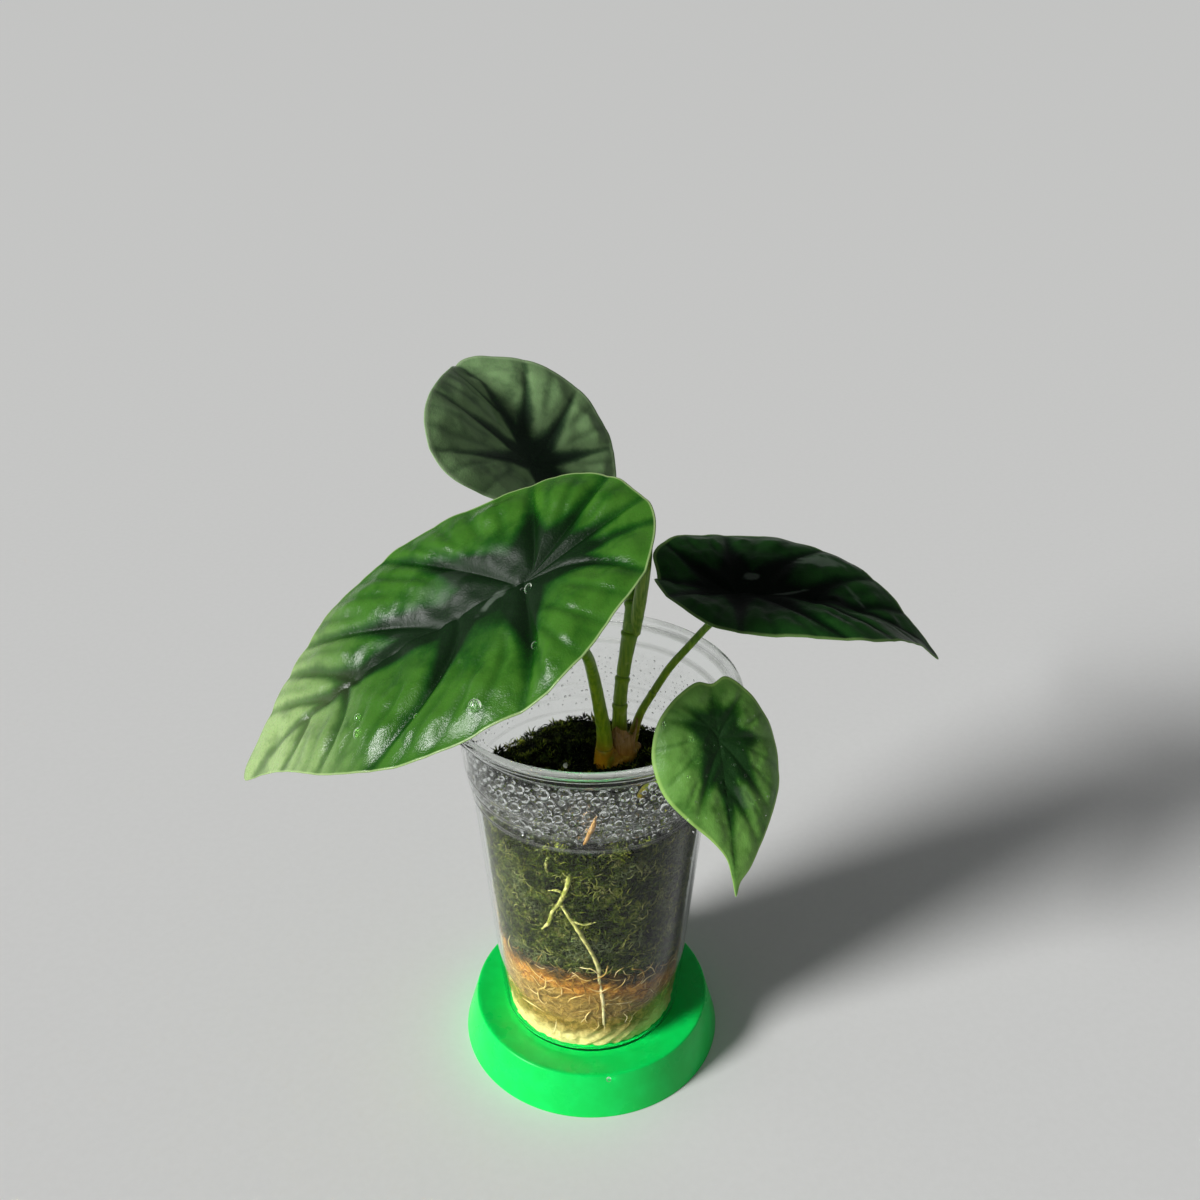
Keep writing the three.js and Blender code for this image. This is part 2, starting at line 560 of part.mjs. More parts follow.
addPiece('saucer', saucer(), 'green_plastic');
addPiece('cup', cup(), 'clear_plastic');
addPiece('moss', toGeometry(darkMoss), 'dark_moss');
addPiece('base_moss', toGeometry(paleMoss), 'pale_moss');
addPiece('roots', toGeometry(rootsSolid()), 'root');
addPiece('crown', toGeometry(crown), 'crown');
addPiece('dried_sheath', toGeometry(driedSheath), 'dry_sheath');
addPiece('stalk_front', toGeometry(stalkSolid(stalks.stalk_front)), 'stalk');
addPiece('stalk_back', toGeometry(without(stalkSolid(stalks.stalk_back), [newLeafHole])), 'stalk');
addPiece('stalk_right', toGeometry(stalkSolid(stalks.stalk_right)), 'stalk');
addPiece('stalk_small', toGeometry(stalkSolid(stalks.stalk_small)), 'stalk');
addPiece('new_leaf', toGeometry(stalkSolid(NEW_LEAF)), 'stalk');
addPiece('blade_front', bladeGeometry(BLADES.blade_front), 'leaf_deep');
addPiece('blade_back', bladeGeometry(BLADES.blade_back), 'leaf_dull');
addPiece('blade_right', bladeGeometry(BLADES.blade_right), 'leaf_dark');
addPiece('blade_small', bladeGeometry(BLADES.blade_small), 'leaf_light');

export default group;
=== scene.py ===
"""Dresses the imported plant: quilted leaves on fleshy stalks, with moss and roots in a wet clear cup."""
import math

import bpy
import numpy as np
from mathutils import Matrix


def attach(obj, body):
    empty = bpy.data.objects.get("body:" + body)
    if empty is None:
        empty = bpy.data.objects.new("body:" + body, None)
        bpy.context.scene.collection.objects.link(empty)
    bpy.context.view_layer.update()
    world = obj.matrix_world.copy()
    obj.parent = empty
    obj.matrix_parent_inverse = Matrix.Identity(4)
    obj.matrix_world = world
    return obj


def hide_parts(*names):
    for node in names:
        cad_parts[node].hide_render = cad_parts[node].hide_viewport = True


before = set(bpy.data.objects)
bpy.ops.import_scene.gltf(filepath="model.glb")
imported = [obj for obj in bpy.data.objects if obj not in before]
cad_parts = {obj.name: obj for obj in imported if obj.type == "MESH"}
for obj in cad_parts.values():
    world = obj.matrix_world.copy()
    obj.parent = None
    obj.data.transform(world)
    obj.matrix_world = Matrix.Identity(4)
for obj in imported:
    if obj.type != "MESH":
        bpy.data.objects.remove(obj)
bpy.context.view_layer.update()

MM = 0.001

# Driving dimensions in millimetres, about the cup's own axis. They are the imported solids' own, apart from
# MOSS_FOOT_R, which is 26.8 there, and BLADE_THICKNESS, which is 0.9 there. MOSS_INSET and FOLD_SOFTNESS are
# only used here.
CUP_AXIS = (-2.1, -2.6)
SAUCER_TOP_Z = 15.1
SAUCER_TOP_R = 40.6
SAUCER_BASE_R = 44.7
SAUCER_WALL = 1.6
SAUCER_SEAT_Z = 13.5
SAUCER_SEAT_R = 38.6
CUP_FOOT_Z = 13.8
CUP_FOOT_R = 30.4
CUP_FLOOR_R = 28.2
CUP_WALL_SLOPE = 0.083
CUP_WALL = 0.9
CUP_LEDGE_Z = 132.5
CUP_LEDGE_R = 43.6
CUP_NECK_R = 44.3
CUP_LIP_Z = 138.1
CUP_LIP_WIDTH = 1.9
CUP_RIM_Z = 141.5
CUP_RIM_R = 47.5
STACKING_RIBS_Z = [107, 112, 117]
RIB_STEP = 0.5
RIB_RISE = 1.3
MOSS_TOP_Z = 105
MOSS_FOOT_R = 27.5
MOSS_FOOT_SLOPE = 1.1
MOSS_INSET = 1.0                 # how far the moss's own body stays in from the wall, which its strands fill
BASE_MOSS_TOP_Z = 47
BLADE_THICKNESS = 0.7
QUILT_REACH = 0.19               # share of a blade's half width over which the quilting rises from a vein
FOLD_SOFTNESS = 0.05             # share of a blade's half width over which its fold is rounded
STALK_SQUARE = 3.5               # length of stalk that stands square to its blade
CROWN_CENTRE = (8.9, 13.4, 102.5)
CROWN_HALF_SIZES = (9.5, 5.6, 8.0)
CROWN_HEADING = math.radians(45)

# Stems as [x, y, z, radius], from the crown to the underside of their blades, and the new leaf
STEM_FRONT = [
    [4.5, 9, 105, 3.6], [4.4, 8.2, 117, 2.5], [3.2, 5, 128, 2.2], [0.6, 0, 146, 1.9],
    [-1.5, -8, 157.5, 1.7], [-7.5, -18, 171, 1.5],
]
STEM_BACK = [
    [9.8, 14, 105, 2.8], [9.7, 15, 126, 2.3], [11.2, 17, 139.5, 2.25], [12.7, 17.6, 150, 2.6],
    [13.3, 18.6, 160, 2.3], [11.5, 24, 169, 1.6], [4, 33.5, 177, 1.4], [-7, 42.5, 184, 1.3],
    [-15.5, 46.3, 188.8, 1.3],
]
STEM_RIGHT = [
    [13.3, 18.4, 105, 2.0], [16.3, 18.8, 117.5, 1.4], [21.1, 18.5, 127.5, 1.3], [25.7, 17, 137, 1.3],
    [31.7, 15, 146.5, 1.25], [38, 12, 156.5, 1.2],
]
STEM_SMALL = [
    [15.5, -9, 96, 1.3], [16, -10.5, 107, 1.25], [20.8, -24, 124, 1.15], [23.8, -31.5, 138, 1.1],
    [28.2, -37.6, 147, 1.05],
]
NEW_LEAF = [
    [14.5, 16.9, 150, 1.6], [15.0, 15.4, 158, 2.1], [16.0, 13.8, 167, 2.1], [17.2, 12.8, 177, 1.7],
    [18.7, 12, 187, 0.5],
]
# The main root, its two forks, a short root beside it and two rootlets
ROOTS = [
    [[8, 12.5, 93.5, 1.2], [5, 3, 92, 1.1], [-2, -20, 95, 0.9], [-6.4, -33.4, 94, 0.85],
     [-7.9, -33.4, 88, 0.75], [-10.1, -32.1, 81.5, 0.8]],
    [[-9.6, -32.2, 82.5, 0.75], [-12.0, -31.2, 78, 0.6], [-13.2, -30.4, 73, 0.7], [-15.6, -28.8, 68.5, 0.3]],
    [[-9.6, -32.2, 82.5, 0.7], [-6.4, -32.6, 76, 0.65], [-3.4, -32.8, 70, 0.7], [0, -32.1, 61.5, 0.6],
     [2.2, -31.3, 54, 0.75], [2.6, -30.8, 47, 0.55], [3.6, -30.1, 38, 0.6], [4.0, -29.3, 27, 0.35]],
    [[8, 12.5, 93.5, 1.0], [2, -2, 96, 0.9], [-12.5, -30.7, 99.5, 0.7], [-13.6, -31.5, 97, 0.65],
     [-13.2, -31.2, 93.5, 0.3]],
    [[-7.5, -33.5, 86, 0.35], [-10.4, -32.6, 87.6, 0.4], [-13.2, -31.4, 86.6, 0.15]],
    [[-6.0, -32.8, 75.4, 0.3], [-2.2, -33.4, 74.4, 0.3], [1.2, -33.2, 75.2, 0.12]],
]
# A dry bit that hangs at the near wall
DRIED_BIT = [
    [1.4, -39.0, 121, 0.35], [0.8, -39.1, 118, 0.8], [-0.6, -38.6, 114, 0.7], [-2.0, -37.9, 110, 0.4],
]

# The white grain on the moss beside the crown
GRAIN_PLACE = (-8.13, 5.29, 106.8)
GRAIN_ACROSS = 1.7

# Blades. A blade is drawn flat as s along its midrib, from the stalk towards the tip, and v to its left.
# Each vein is [where it leaves the midrib, where it meets the margin, how far out that is, its bend]. A bend
# of 1 is straight, above 1 it starts square to the midrib, below 1 it starts along the midrib. The front
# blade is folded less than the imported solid, the small one is more arched, and some veins end elsewhere.
BLADES = {
    "blade_front": dict(
        stalk=(-18, -27, 191), heading=183, rise=-30, roll=-18, length=111, back_length=40, half_width=41,
        droop=31, droop_power=2, back_droop=10, fold=0.15, arch=0.11, quilt=3.1, crease=2.3, minor=0.65,
        outline=[[111, -4], [100, 3], [87, 12], [68, 27], [50, 37], [34, 42], [17, 43], [1, 42], [-10, 37],
                 [-21, 29], [-31, 20], [-38, 6], [-40, -6], [-37, -13.5], [-34.5, -19], [-28.5, -25.5],
                 [-17, -31], [1, -35], [21, -38], [37, -38], [50, -35], [64, -30], [77, -23], [88, -16],
                 [101, -9]],
        left_veins=[[0, -33, 18, 0.45], [0, 8, 42, 3.5], [21, 52, 34, 2.5], [60, 72, 23, 3], [76, 88, 11, 2]],
        right_veins=[[0, -38, -9, 0.8], [0, -31, -22, 0.8], [0, -10, -32, 0.4], [2, 41, -37, 1.1],
                     [27, 76, -27, 1.15], [56, 83, -21, 1.2], [67, 92, -14, 1.2]],
    ),
    "blade_back": dict(
        stalk=(-18.4, 42, 198.2), heading=131, rise=42, roll=10, length=68, back_length=29, half_width=36,
        droop=75, droop_power=2, back_droop=-18, fold=0.48, arch=0.20, quilt=1.6, crease=2.2, minor=0.35,
        outline=[[45, -3], [42.5, 2], [36.5, 11], [30, 22], [23, 33], [15, 41], [5, 44.5], [-5, 42.5],
                 [-12.5, 35], [-20, 25], [-27, 12], [-24, 1], [-27, -10], [-22, -18], [-13, -24], [-4, -28.5],
                 [6, -30], [16, -29], [25, -25], [33.5, -18.5], [39.5, -11.5], [43.5, -7]],
        left_veins=[[0, -24, 16, 0.8], [0, 6, 42, 2], [1, 24, 27, 1.4], [20, 38, 9, 1.5]],
        right_veins=[[0, -22, -16, 0.8], [0, -6, -28, 0.6], [0, 18, -28, 1.2], [10, 33, -18, 1.3]],
    ),
    "blade_right": dict(
        stalk=(45, 9, 168), heading=-2, rise=-2, roll=-2, length=69, back_length=28, half_width=34,
        droop=43, droop_power=1.55, back_droop=-23, fold=0.34, arch=0.20, quilt=1.7, crease=2.2, minor=0.35,
        outline=[[69, 0], [64, 3], [56, 9], [46, 20], [34, 28.5], [22, 33], [8, 35], [-5, 33.5], [-15, 29.5],
                 [-23, 21], [-27.5, 10], [-25, 0], [-27.5, -10], [-23, -21], [-15, -29.5], [-5, -33.5],
                 [8, -35], [22, -33], [34, -29], [46, -20], [56, -9.5], [64, -3]],
        left_veins=[[0, -23, 18, 0.8], [0, -2, 34, 1], [8, 30, 31, 1.5], [24, 45, 21, 1.5],
                    [38, 55, 10, 1.5]],
        right_veins=[[0, -23, -18, 0.8], [0, -2, -34, 1], [6, 28, -31, 1.5], [22, 44, -22, 1.5],
                     [37, 55, -10, 1.5]],
    ),
    "blade_small": dict(
        stalk=(35, -45, 152), heading=-75, rise=-58, roll=-5, length=44, back_length=16, half_width=18,
        droop=15, droop_power=2, back_droop=0, fold=0.17, arch=0.35, quilt=0.9, crease=1.7, minor=0.25,
        outline=[[44, 0], [40, 1.5], [36, 5], [30, 9], [24, 13], [17, 17], [9, 18.5], [1, 18], [-6, 15],
                 [-12, 10.5], [-16.5, 4.5], [-15, 0.5], [-16, -4], [-13, -10], [-8, -15], [-1, -18],
                 [6, -18.5], [14, -16.5], [21, -11.5], [27, -6], [33, -2], [39, -0.8]],
        left_veins=[[0, -12, 10, 0.8], [0, 3, 18, 1.5], [1, 23, 13, 1.3], [14, 31, 8, 1.6]],
        right_veins=[[0, -12, -10, 0.8], [-3, -8, -16, 1], [3, 24, -10, 1.5]],
    ),
}

# Colours of each blade's upper side. gloss is its roughness, vein_mm how far the dark spreads from a vein and
# vein_end how much of that is left at the margin, heart the share of the blade that the dark middle takes,
# painted_tip_sheen how strongly painted sheen pales the far end and rim_mm how wide the pale margin is.
LEAF_LOOKS = {
    "blade_front": dict(
        dark=(0.001, 0.014, 0.001), middle=(0.006, 0.062, 0.003), light=(0.044, 0.152, 0.013),
        rim=(0.36, 0.50, 0.20), gloss=0.23, sheen=0.30,
        vein_mm=5.5, vein_end=0.55, heart=0.75, painted_tip_sheen=0.8, rim_mm=0.5),
    # Partly painted sheen: this blade's colours are lighter and greyer than the other blades', partly its own
    # silvery green and partly standing in for the sheen on it.
    "blade_back": dict(
        dark=(0.005, 0.022, 0.007), middle=(0.036, 0.082, 0.030), light=(0.18, 0.30, 0.125),
        rim=(0.30, 0.42, 0.22), gloss=0.42, sheen=0.35,
        vein_mm=3.5, vein_end=0.4, heart=0.36, painted_tip_sheen=0.0, rim_mm=1.5),
    # Painted shade: this blade's colours are kept far darker than the front blade's, standing in for the
    # shade that it lies in.
    "blade_right": dict(
        dark=(0.0005, 0.004, 0.001), middle=(0.002, 0.020, 0.003), light=(0.015, 0.072, 0.012),
        rim=(0.20, 0.34, 0.10), gloss=0.34, sheen=0.06,
        vein_mm=5.0, vein_end=0.6, heart=0.7, painted_tip_sheen=0.0, rim_mm=1.1),
    "blade_small": dict(
        dark=(0.002, 0.030, 0.001), middle=(0.018, 0.090, 0.006), light=(0.120, 0.28, 0.050),
        rim=(0.30, 0.50, 0.12), gloss=0.36, sheen=0.26,
        vein_mm=3.8, vein_end=0.10, heart=0.7, painted_tip_sheen=0.10, rim_mm=0.8),
}

# Water lying on the blades as [blade, s, v, radius]
DROPS_ON_BLADES = [
    ["blade_front", -1.5, 4.5, 1.6], ["blade_front", 0.4, 3.0, 0.7], ["blade_front", 0.3, 25.6, 1.1],
    ["blade_front", 18.9, 36.7, 1.8], ["blade_front", 54.4, 23.2, 1.6], ["blade_front", 54.1, 17.5, 1.1],
    ["blade_front", 36.6, 28.2, 0.8], ["blade_small", -1.2, -8.2, 0.9], ["blade_small", -6.3, -14.5, 0.6],
]
FINE_DROPS = 46                  # fine drops on the small blade
# The drop on the saucer's rim as its centre, the way it faces and its radius
DROP_ON_SAUCER = ((5.5, -41.2, 14.2), (0.05, -0.75, 0.66), 0.8)
# Dried water marks as [s, v, half length, half width, turn, strength]
WATER_MARKS = {
    "blade_front": [[9, 1.5, 5, 1.3, 0.5, 0.5], [22, -12, 7, 4, 0.2, 0.12]],
    "blade_back": [[18, 8.5, 4.5, 1.3, 2.8, 0.4]],
    "blade_right": [[26.5, 19.5, 7, 3.2, 0.25, 0.9], [4.8, 7.3, 2.6, 1.5, 0, 0.6],
                    [16, 1.5, 5.5, 0.5, 0.4, 0.6], [37, 6, 4.5, 0.7, 2.2, 0.4]],
    "blade_small": [[17, 5, 4, 2, 0.5, 0.2]],
}
# Condensation inside the cup as [name, lowest and highest z, first angle and sweep in degrees, how thickly it
# covers the wall, spacing of the beads, smallest and largest bead, seed]
CONDENSATION = [
    ["condensation_large", 108.5, 130, 170, 205, 1.0, 2.9, 1.8, 4.6, 73],
    ["condensation_small", 106, 131.5, 165, 215, 1.0, 1.7, 0.4, 1.5, 77],
    ["condensation_far", 108, 131, 15, 150, 0.5, 1.5, 0.25, 0.9, 74],
]

# Floor, in millimetres, and light
FLOOR_R = 30000
FLOOR_SIDES = 96
KEY_LIGHT_FROM = (-0.80, -0.45, 0.46)
KEY_LIGHT_STRENGTH = 4.2
KEY_LIGHT_SPREAD = 17            # degrees across, which sets how soft its shadows are
ROOM_COLOUR = (0.86, 0.88, 0.90)
ROOM_LIGHT = 0.15                # how strongly the room lights the plant
ROOM_SEEN = 0.65                 # how bright the room itself looks behind the floor

# The photograph's camera, about the cup's axis: metres, degrees and millimetres
CAMERA_PLACE = (0, -0.3306, 0.34985)
CAMERA_TILT = 61.60
CAMERA_TURN = -0.52
CAMERA_LENS = 37.81
CAMERA_SENSOR = 36


# Curves and meshes

def smooth_curve(points, per_span, closed=False):
    """A centripetal Catmull-Rom curve through points; columns after the third are carried along."""
    points = np.asarray(points, float)
    if closed:
        padded = np.vstack([points[-1:], points, points[:2]])
    else:
        padded = np.vstack([2 * points[:1] - points[1:2], points, 2 * points[-1:] - points[-2:-1]])

    def between(a, b, t, t_a, t_b):
        return (a * (t_b - t) + b * (t - t_a)) / (t_b - t_a)

    curve = []
    for p0, p1, p2, p3 in zip(padded, padded[1:], padded[2:], padded[3:]):
        steps = [np.linalg.norm((b - a)[:3]) ** 0.5 for a, b in ((p0, p1), (p1, p2), (p2, p3))]
        t0, t1, t2, t3 = np.cumsum([0, *steps])
        for t in np.linspace(t1, t2, per_span, endpoint=False):
            early = between(between(p0, p1, t, t0, t1), between(p1, p2, t, t1, t2), t, t0, t2)
            late = between(between(p1, p2, t, t1, t2), between(p2, p3, t, t2, t3), t, t1, t3)
            curve.append(between(early, late, t, t1, t2))
    if not closed:
        curve.append(points[-1])
    return np.array(curve)


def undulation(points, wavelength, seed):
    """A smooth uneven field of about -1 to 1 at each row of points, with bumps about a wavelength apart."""
    random = np.random.default_rng(seed)
    points = np.asarray(points, float)
    total = np.zeros(len(points))
    waves = 9
    for _ in range(waves):
        direction = random.normal(size=points.shape[1])
        direction *= random.uniform(0.6, 1.5) / np.linalg.norm(direction)
        total += np.sin(2 * math.pi * points @ direction / wavelength + random.uniform(0, 2 * math.pi))
    return total / math.sqrt(waves)


def smooth_step(value, low, high):
    share = np.clip((value - low) / (high - low), 0, 1)
    return share * share * (3 - 2 * share)


def in_place(points_mm):
    """Points drawn about the cup's axis in millimetres, moved to their place in metres."""
    return ((np.asarray(points_mm, float) + [*CUP_AXIS, 0]) * MM).tolist()


def add_mesh(name, points_mm, faces):
    mesh = bpy.data.meshes.new(name)
    mesh.from_pydata(in_place(points_mm), [], faces)
    mesh.shade_smooth()
    piece = bpy.data.objects.new(name, mesh)
    bpy.context.scene.collection.objects.link(piece)
    return piece


def add_attribute(piece, name, values):
    attribute = piece.data.attributes.new(name, "FLOAT", "POINT")
    attribute.data.foreach_set("value", np.asarray(values, np.float32))


def grid_faces(rows, columns, start=0, closed=True):
    """Quads between rows of points, each row a ring of columns if closed."""
    faces = []
    last = columns if closed else columns - 1
    for row in range(rows - 1):
        for column in range(last):
            beside = (column + 1) % columns
            a = start + row * columns
            faces.append((a + column, a + beside, a + columns + beside, a + columns + column))
    return faces


def end_faces(rows, columns):
    """The faces that close the first and the last of some rings."""
    return [tuple(range(columns))[::-1], tuple((rows - 1) * columns + k for k in range(columns))]


def ring_points(radius, z, count):
    """Points evenly round the axis at one height."""
    turns = [2 * math.pi * k / count for k in range(count)]
    return [(radius * math.cos(turn), radius * math.sin(turn), z) for turn in turns]


def round_axis(angle, radius, z):
    """A row of points at these angles about the cup's axis."""
    return np.stack([radius * np.cos(angle), radius * np.sin(angle), z], -1)


def rounded(profile, radius, steps):
    """The same closed outline with each corner drawn as a short curve; points on the axis stay."""
    outline = []
    points = [np.array(point, float) for point in profile]
    for i, corner in enumerate(points):
        before, after = points[i - 1], points[(i + 1) % len(points)]
        if corner[0] < 1e-6:
            outline.append(corner)
            continue
        back, ahead = before - corner, after - corner
        reach = min(radius, 0.45 * np.linalg.norm(back), 0.45 * np.linalg.norm(ahead))
        start = corner + back * reach / np.linalg.norm(back)
        end = corner + ahead * reach / np.linalg.norm(ahead)
        for t in np.linspace(0, 1, steps):
            outline.append((1 - t) ** 2 * start + 2 * t * (1 - t) * corner + t * t * end)
    return outline


def turned(name, profile, sides):
    """Turns a closed profile of [radius, height] pairs about +Z; points on the axis become poles."""
    points = []
    starts = []
    for radius, height in profile:
        starts.append(len(points))
        if radius < 1e-6:
            points.append((0, 0, height))
            continue
        for angle in np.linspace(0, 2 * math.pi, sides, endpoint=False):
            points.append((radius * math.cos(angle), radius * math.sin(angle), height))
    starts.append(len(points))
    faces = []
    count = len(profile)
    for i in range(count):
        j = (i + 1) % count
        is_pole, is_next_pole = profile[i][0] < 1e-6, profile[j][0] < 1e-6
        for k in range(sides):
            beside = (k + 1) % sides
            if is_pole and is_next_pole:
                break
            if is_pole:
                faces.append((starts[i], starts[j] + beside, starts[j] + k))
            elif is_next_pole:
                faces.append((starts[i] + k, starts[i] + beside, starts[j]))
            else:
                faces.append((starts[i] + k, starts[i] + beside, starts[j] + beside, starts[j] + k))
    piece = add_mesh(name, points, faces)
    point_outwards(piece)
    return piece


def point_outwards(piece):
    """Turns every face of a closed mesh if its volume comes out negative."""
    mesh = piece.data
    mesh.calc_loop_triangles()
    corners = np.array([v.co for v in mesh.vertices])
    triangles = np.array([t.vertices for t in mesh.loop_triangles])
    a, b, c = (corners[triangles[:, k]] for k in range(3))
    if np.einsum("ij,ij->i", a, np.cross(b, c)).sum() < 0:
        mesh.flip_normals()


def finish_piece(piece, nodes, materials=()):
    for material in materials:
        piece.data.materials.append(material)
    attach(piece, "root")
    if nodes:
        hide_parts(*nodes)


# Materials

class Recipe:
    """Adds nodes to a tree and joins them, so that a material or a modifier reads as a list of steps."""

    def __init__(self, tree):
        self.tree = tree

    def add(self, kind, inputs=None, **settings):
        node = self.tree.nodes.new(kind)
        for name, value in settings.items():
            setattr(node, name, value)
        for key, value in (inputs or {}).items():
            if isinstance(value, bpy.types.NodeSocket):
                self.tree.links.new(value, node.inputs[key])
            else:
                node.inputs[key].default_value = value
        return node

    def math(self, operation, a, b=0.0, c=0.0):
        return self.add("ShaderNodeMath", {0: a, 1: b, 2: c}, operation=operation).outputs[0]

    def mix(self, share, a, b):
        node = self.add("ShaderNodeMix", {0: share}, data_type="RGBA")
        for socket, colour in ((node.inputs[6], a), (node.inputs[7], b)):
            if isinstance(colour, bpy.types.NodeSocket):
                self.tree.links.new(colour, socket)
            else:
                socket.default_value = (*colour, 1)
        return node.outputs[2]

    def span(self, value, low, high, to_low=0.0, to_high=1.0):
        inputs = {0: value, 1: low, 2: high, 3: to_low, 4: to_high}
        return self.add("ShaderNodeMapRange", inputs, interpolation_type="SMOOTHSTEP").outputs[0]

    def ramp(self, value, stops):
        node = self.add("ShaderNodeValToRGB", {0: value})
        elements = node.color_ramp.elements
        while len(elements) < len(stops):
            elements.new(0.5)
        for element, (place, colour) in zip(elements, stops):
            element.position = place
            element.color = (*colour, 1)
        return node.outputs[0]

    def attribute(self, name):
        return self.add("ShaderNodeAttribute", attribute_name=name).outputs["Fac"]

    def stored(self, name):
        """An attribute as a geometry node tree reads it."""
        return self.add("GeometryNodeInputNamedAttribute", {"Name": name}, data_type="FLOAT").outputs[0]

    def place(self, scale):
        """Object coordinates, stretched where a pattern runs along one way."""
        coordinates = self.add("ShaderNodeTexCoord").outputs["Object"]
        return self.add("ShaderNodeMapping", {"Vector": coordinates, "Scale": scale}).outputs[0]

    def height(self):
        coordinates = self.add("ShaderNodeTexCoord").outputs["Object"]
        return self.add("ShaderNodeSeparateXYZ", {0: coordinates}).outputs[2]

    def noise(self, grain_mm, detail, stretch=(1, 1, 1), distortion=0.0):
        inputs = {"Vector": self.place(stretch), "Scale": 1 / (grain_mm * MM), "Detail": detail,
                  "Roughness": 0.55, "Distortion": distortion}
        return self.add("ShaderNodeTexNoise", inputs).outputs["Fac"]

    def bump(self, height, depth_mm, normal=None, strength=1.0):
        inputs = {"Height": height, "Distance": depth_mm * MM, "Strength": strength}
        if normal is not None:
            inputs["Normal"] = normal
        return self.add("ShaderNodeBump", inputs).outputs[0]

    def surface(self, shader):
        output = self.tree.nodes.new("ShaderNodeOutputMaterial")
        self.tree.links.new(shader, output.inputs["Surface"])

    def principled(self, **inputs):
        named = {name.replace("_", " "): value for name, value in inputs.items()}
        for name, value in named.items():
            if "Color" in name and isinstance(value, tuple):
                named[name] = (*value, 1)
        return self.add("ShaderNodeBsdfPrincipled", named).outputs[0]


def new_material(name):
    material = bpy.data.materials.new(name)
    material.use_nodes = True
    material.node_tree.nodes.clear()
    return material, Recipe(material.node_tree)


def leaf_upper(name, dark, middle, light, rim, gloss, sheen, vein_mm, vein_end, heart, painted_tip_sheen, rim_mm):
    """Upper side of a blade: dark along its veins and round its stalk, pale at the margin, with painted sheen
    towards its tip.
    """
    material, recipe = new_material(name + "_upper")
    from_vein = recipe.attribute("vein_mm")
    minor = recipe.attribute("minor_vein")
    outwards = recipe.attribute("outwards")
    margin = recipe.attribute("margin_mm")
    mark = recipe.attribute("water_mark")
    patchy = recipe.noise(8, 3)
    reach = recipe.math("MULTIPLY", recipe.span(outwards, 0.05, 0.9, 1.7, 0.5), vein_mm)
    near_vein = recipe.span(recipe.math("DIVIDE", from_vein, reach), 0.0, 1.0, 1.0, 0.0)
    near_vein = recipe.math("MULTIPLY", near_vein, recipe.span(outwards, 0.3, 1.0, 1.0, vein_end))
    pillow = recipe.math("SUBTRACT", recipe.span(outwards, 0.05, heart, 0.1, 1.0), near_vein)
    pillow = recipe.math("MULTIPLY", pillow, recipe.span(patchy, 0.2, 0.75, 0.55, 1.2))
    # Painted sheen: the far end is paled towards the rim colour, standing in for the sheen of light on it.
    tip_sheen_share = recipe.span(recipe.attribute("tipwards"), 0.42, 0.85, 0.0, painted_tip_sheen)
    colour = recipe.mix(recipe.span(pillow, 0.0, 0.5), dark, middle)
    colour = recipe.mix(recipe.span(pillow, 0.3, 1.0), colour, recipe.mix(tip_sheen_share, light, rim))
    colour = recipe.mix(recipe.math("MULTIPLY", minor, 0.5), colour, middle)
    colour = recipe.mix(recipe.math("MULTIPLY", tip_sheen_share, 0.35), colour, rim)
    speckle = recipe.span(recipe.noise(0.6, 2), 0.5, 0.75, 0.0, 0.35)
    speckled = recipe.math("MULTIPLY", speckle, recipe.span(pillow, 0.1, 0.6, 0.15, 1.0))
    colour = recipe.mix(speckled, colour, light)
    colour = recipe.mix(recipe.span(margin, 0.3 * rim_mm, rim_mm, 0.7, 0.0), colour, rim)
    colour = recipe.mix(recipe.math("MULTIPLY", mark, 0.32), colour, (0.38, 0.46, 0.38))
    relief = recipe.bump(recipe.noise(1.3, 3), 0.16, strength=0.7)
    relief = recipe.bump(recipe.noise(0.42, 3), 0.12, relief, strength=0.8)
    shine = recipe.math("ADD", recipe.span(patchy, 0.2, 0.8, gloss - 0.04, gloss + 0.08),
                        recipe.math("MULTIPLY", mark, 0.2))
    shine = recipe.math("ADD", shine, recipe.span(outwards, 0.25, 0.62, 0.24, 0.0))
    recipe.surface(recipe.principled(
        Base_Color=colour, Roughness=shine, Normal=relief, Specular_IOR_Level=sheen, Subsurface_Weight=0.04,
        Subsurface_Radius=(0.2, 1.0, 0.1), Subsurface_Scale=0.002))
    return material


def leaf_under(name, colour_low, colour_high):
    """Underside of a blade: paler and duller, with its raised veins lighter still."""
    material, recipe = new_material(name)
    from_vein = recipe.attribute("vein_mm")
    patchy = recipe.noise(7, 4)
    colour = recipe.mix(recipe.span(patchy, 0.25, 0.75), colour_low, colour_high)
    pale = tuple(min(1.6 * channel + 0.05, 1) for channel in colour_high)
    colour = recipe.mix(recipe.span(from_vein, 0.4, 1.6, 0.8, 0.0), colour, pale)
    relief = recipe.bump(recipe.noise(0.8, 3), 0.08, strength=0.6)
    recipe.surface(recipe.principled(Base_Color=colour, Roughness=0.5, Normal=relief, Specular_IOR_Level=0.4))
    return material


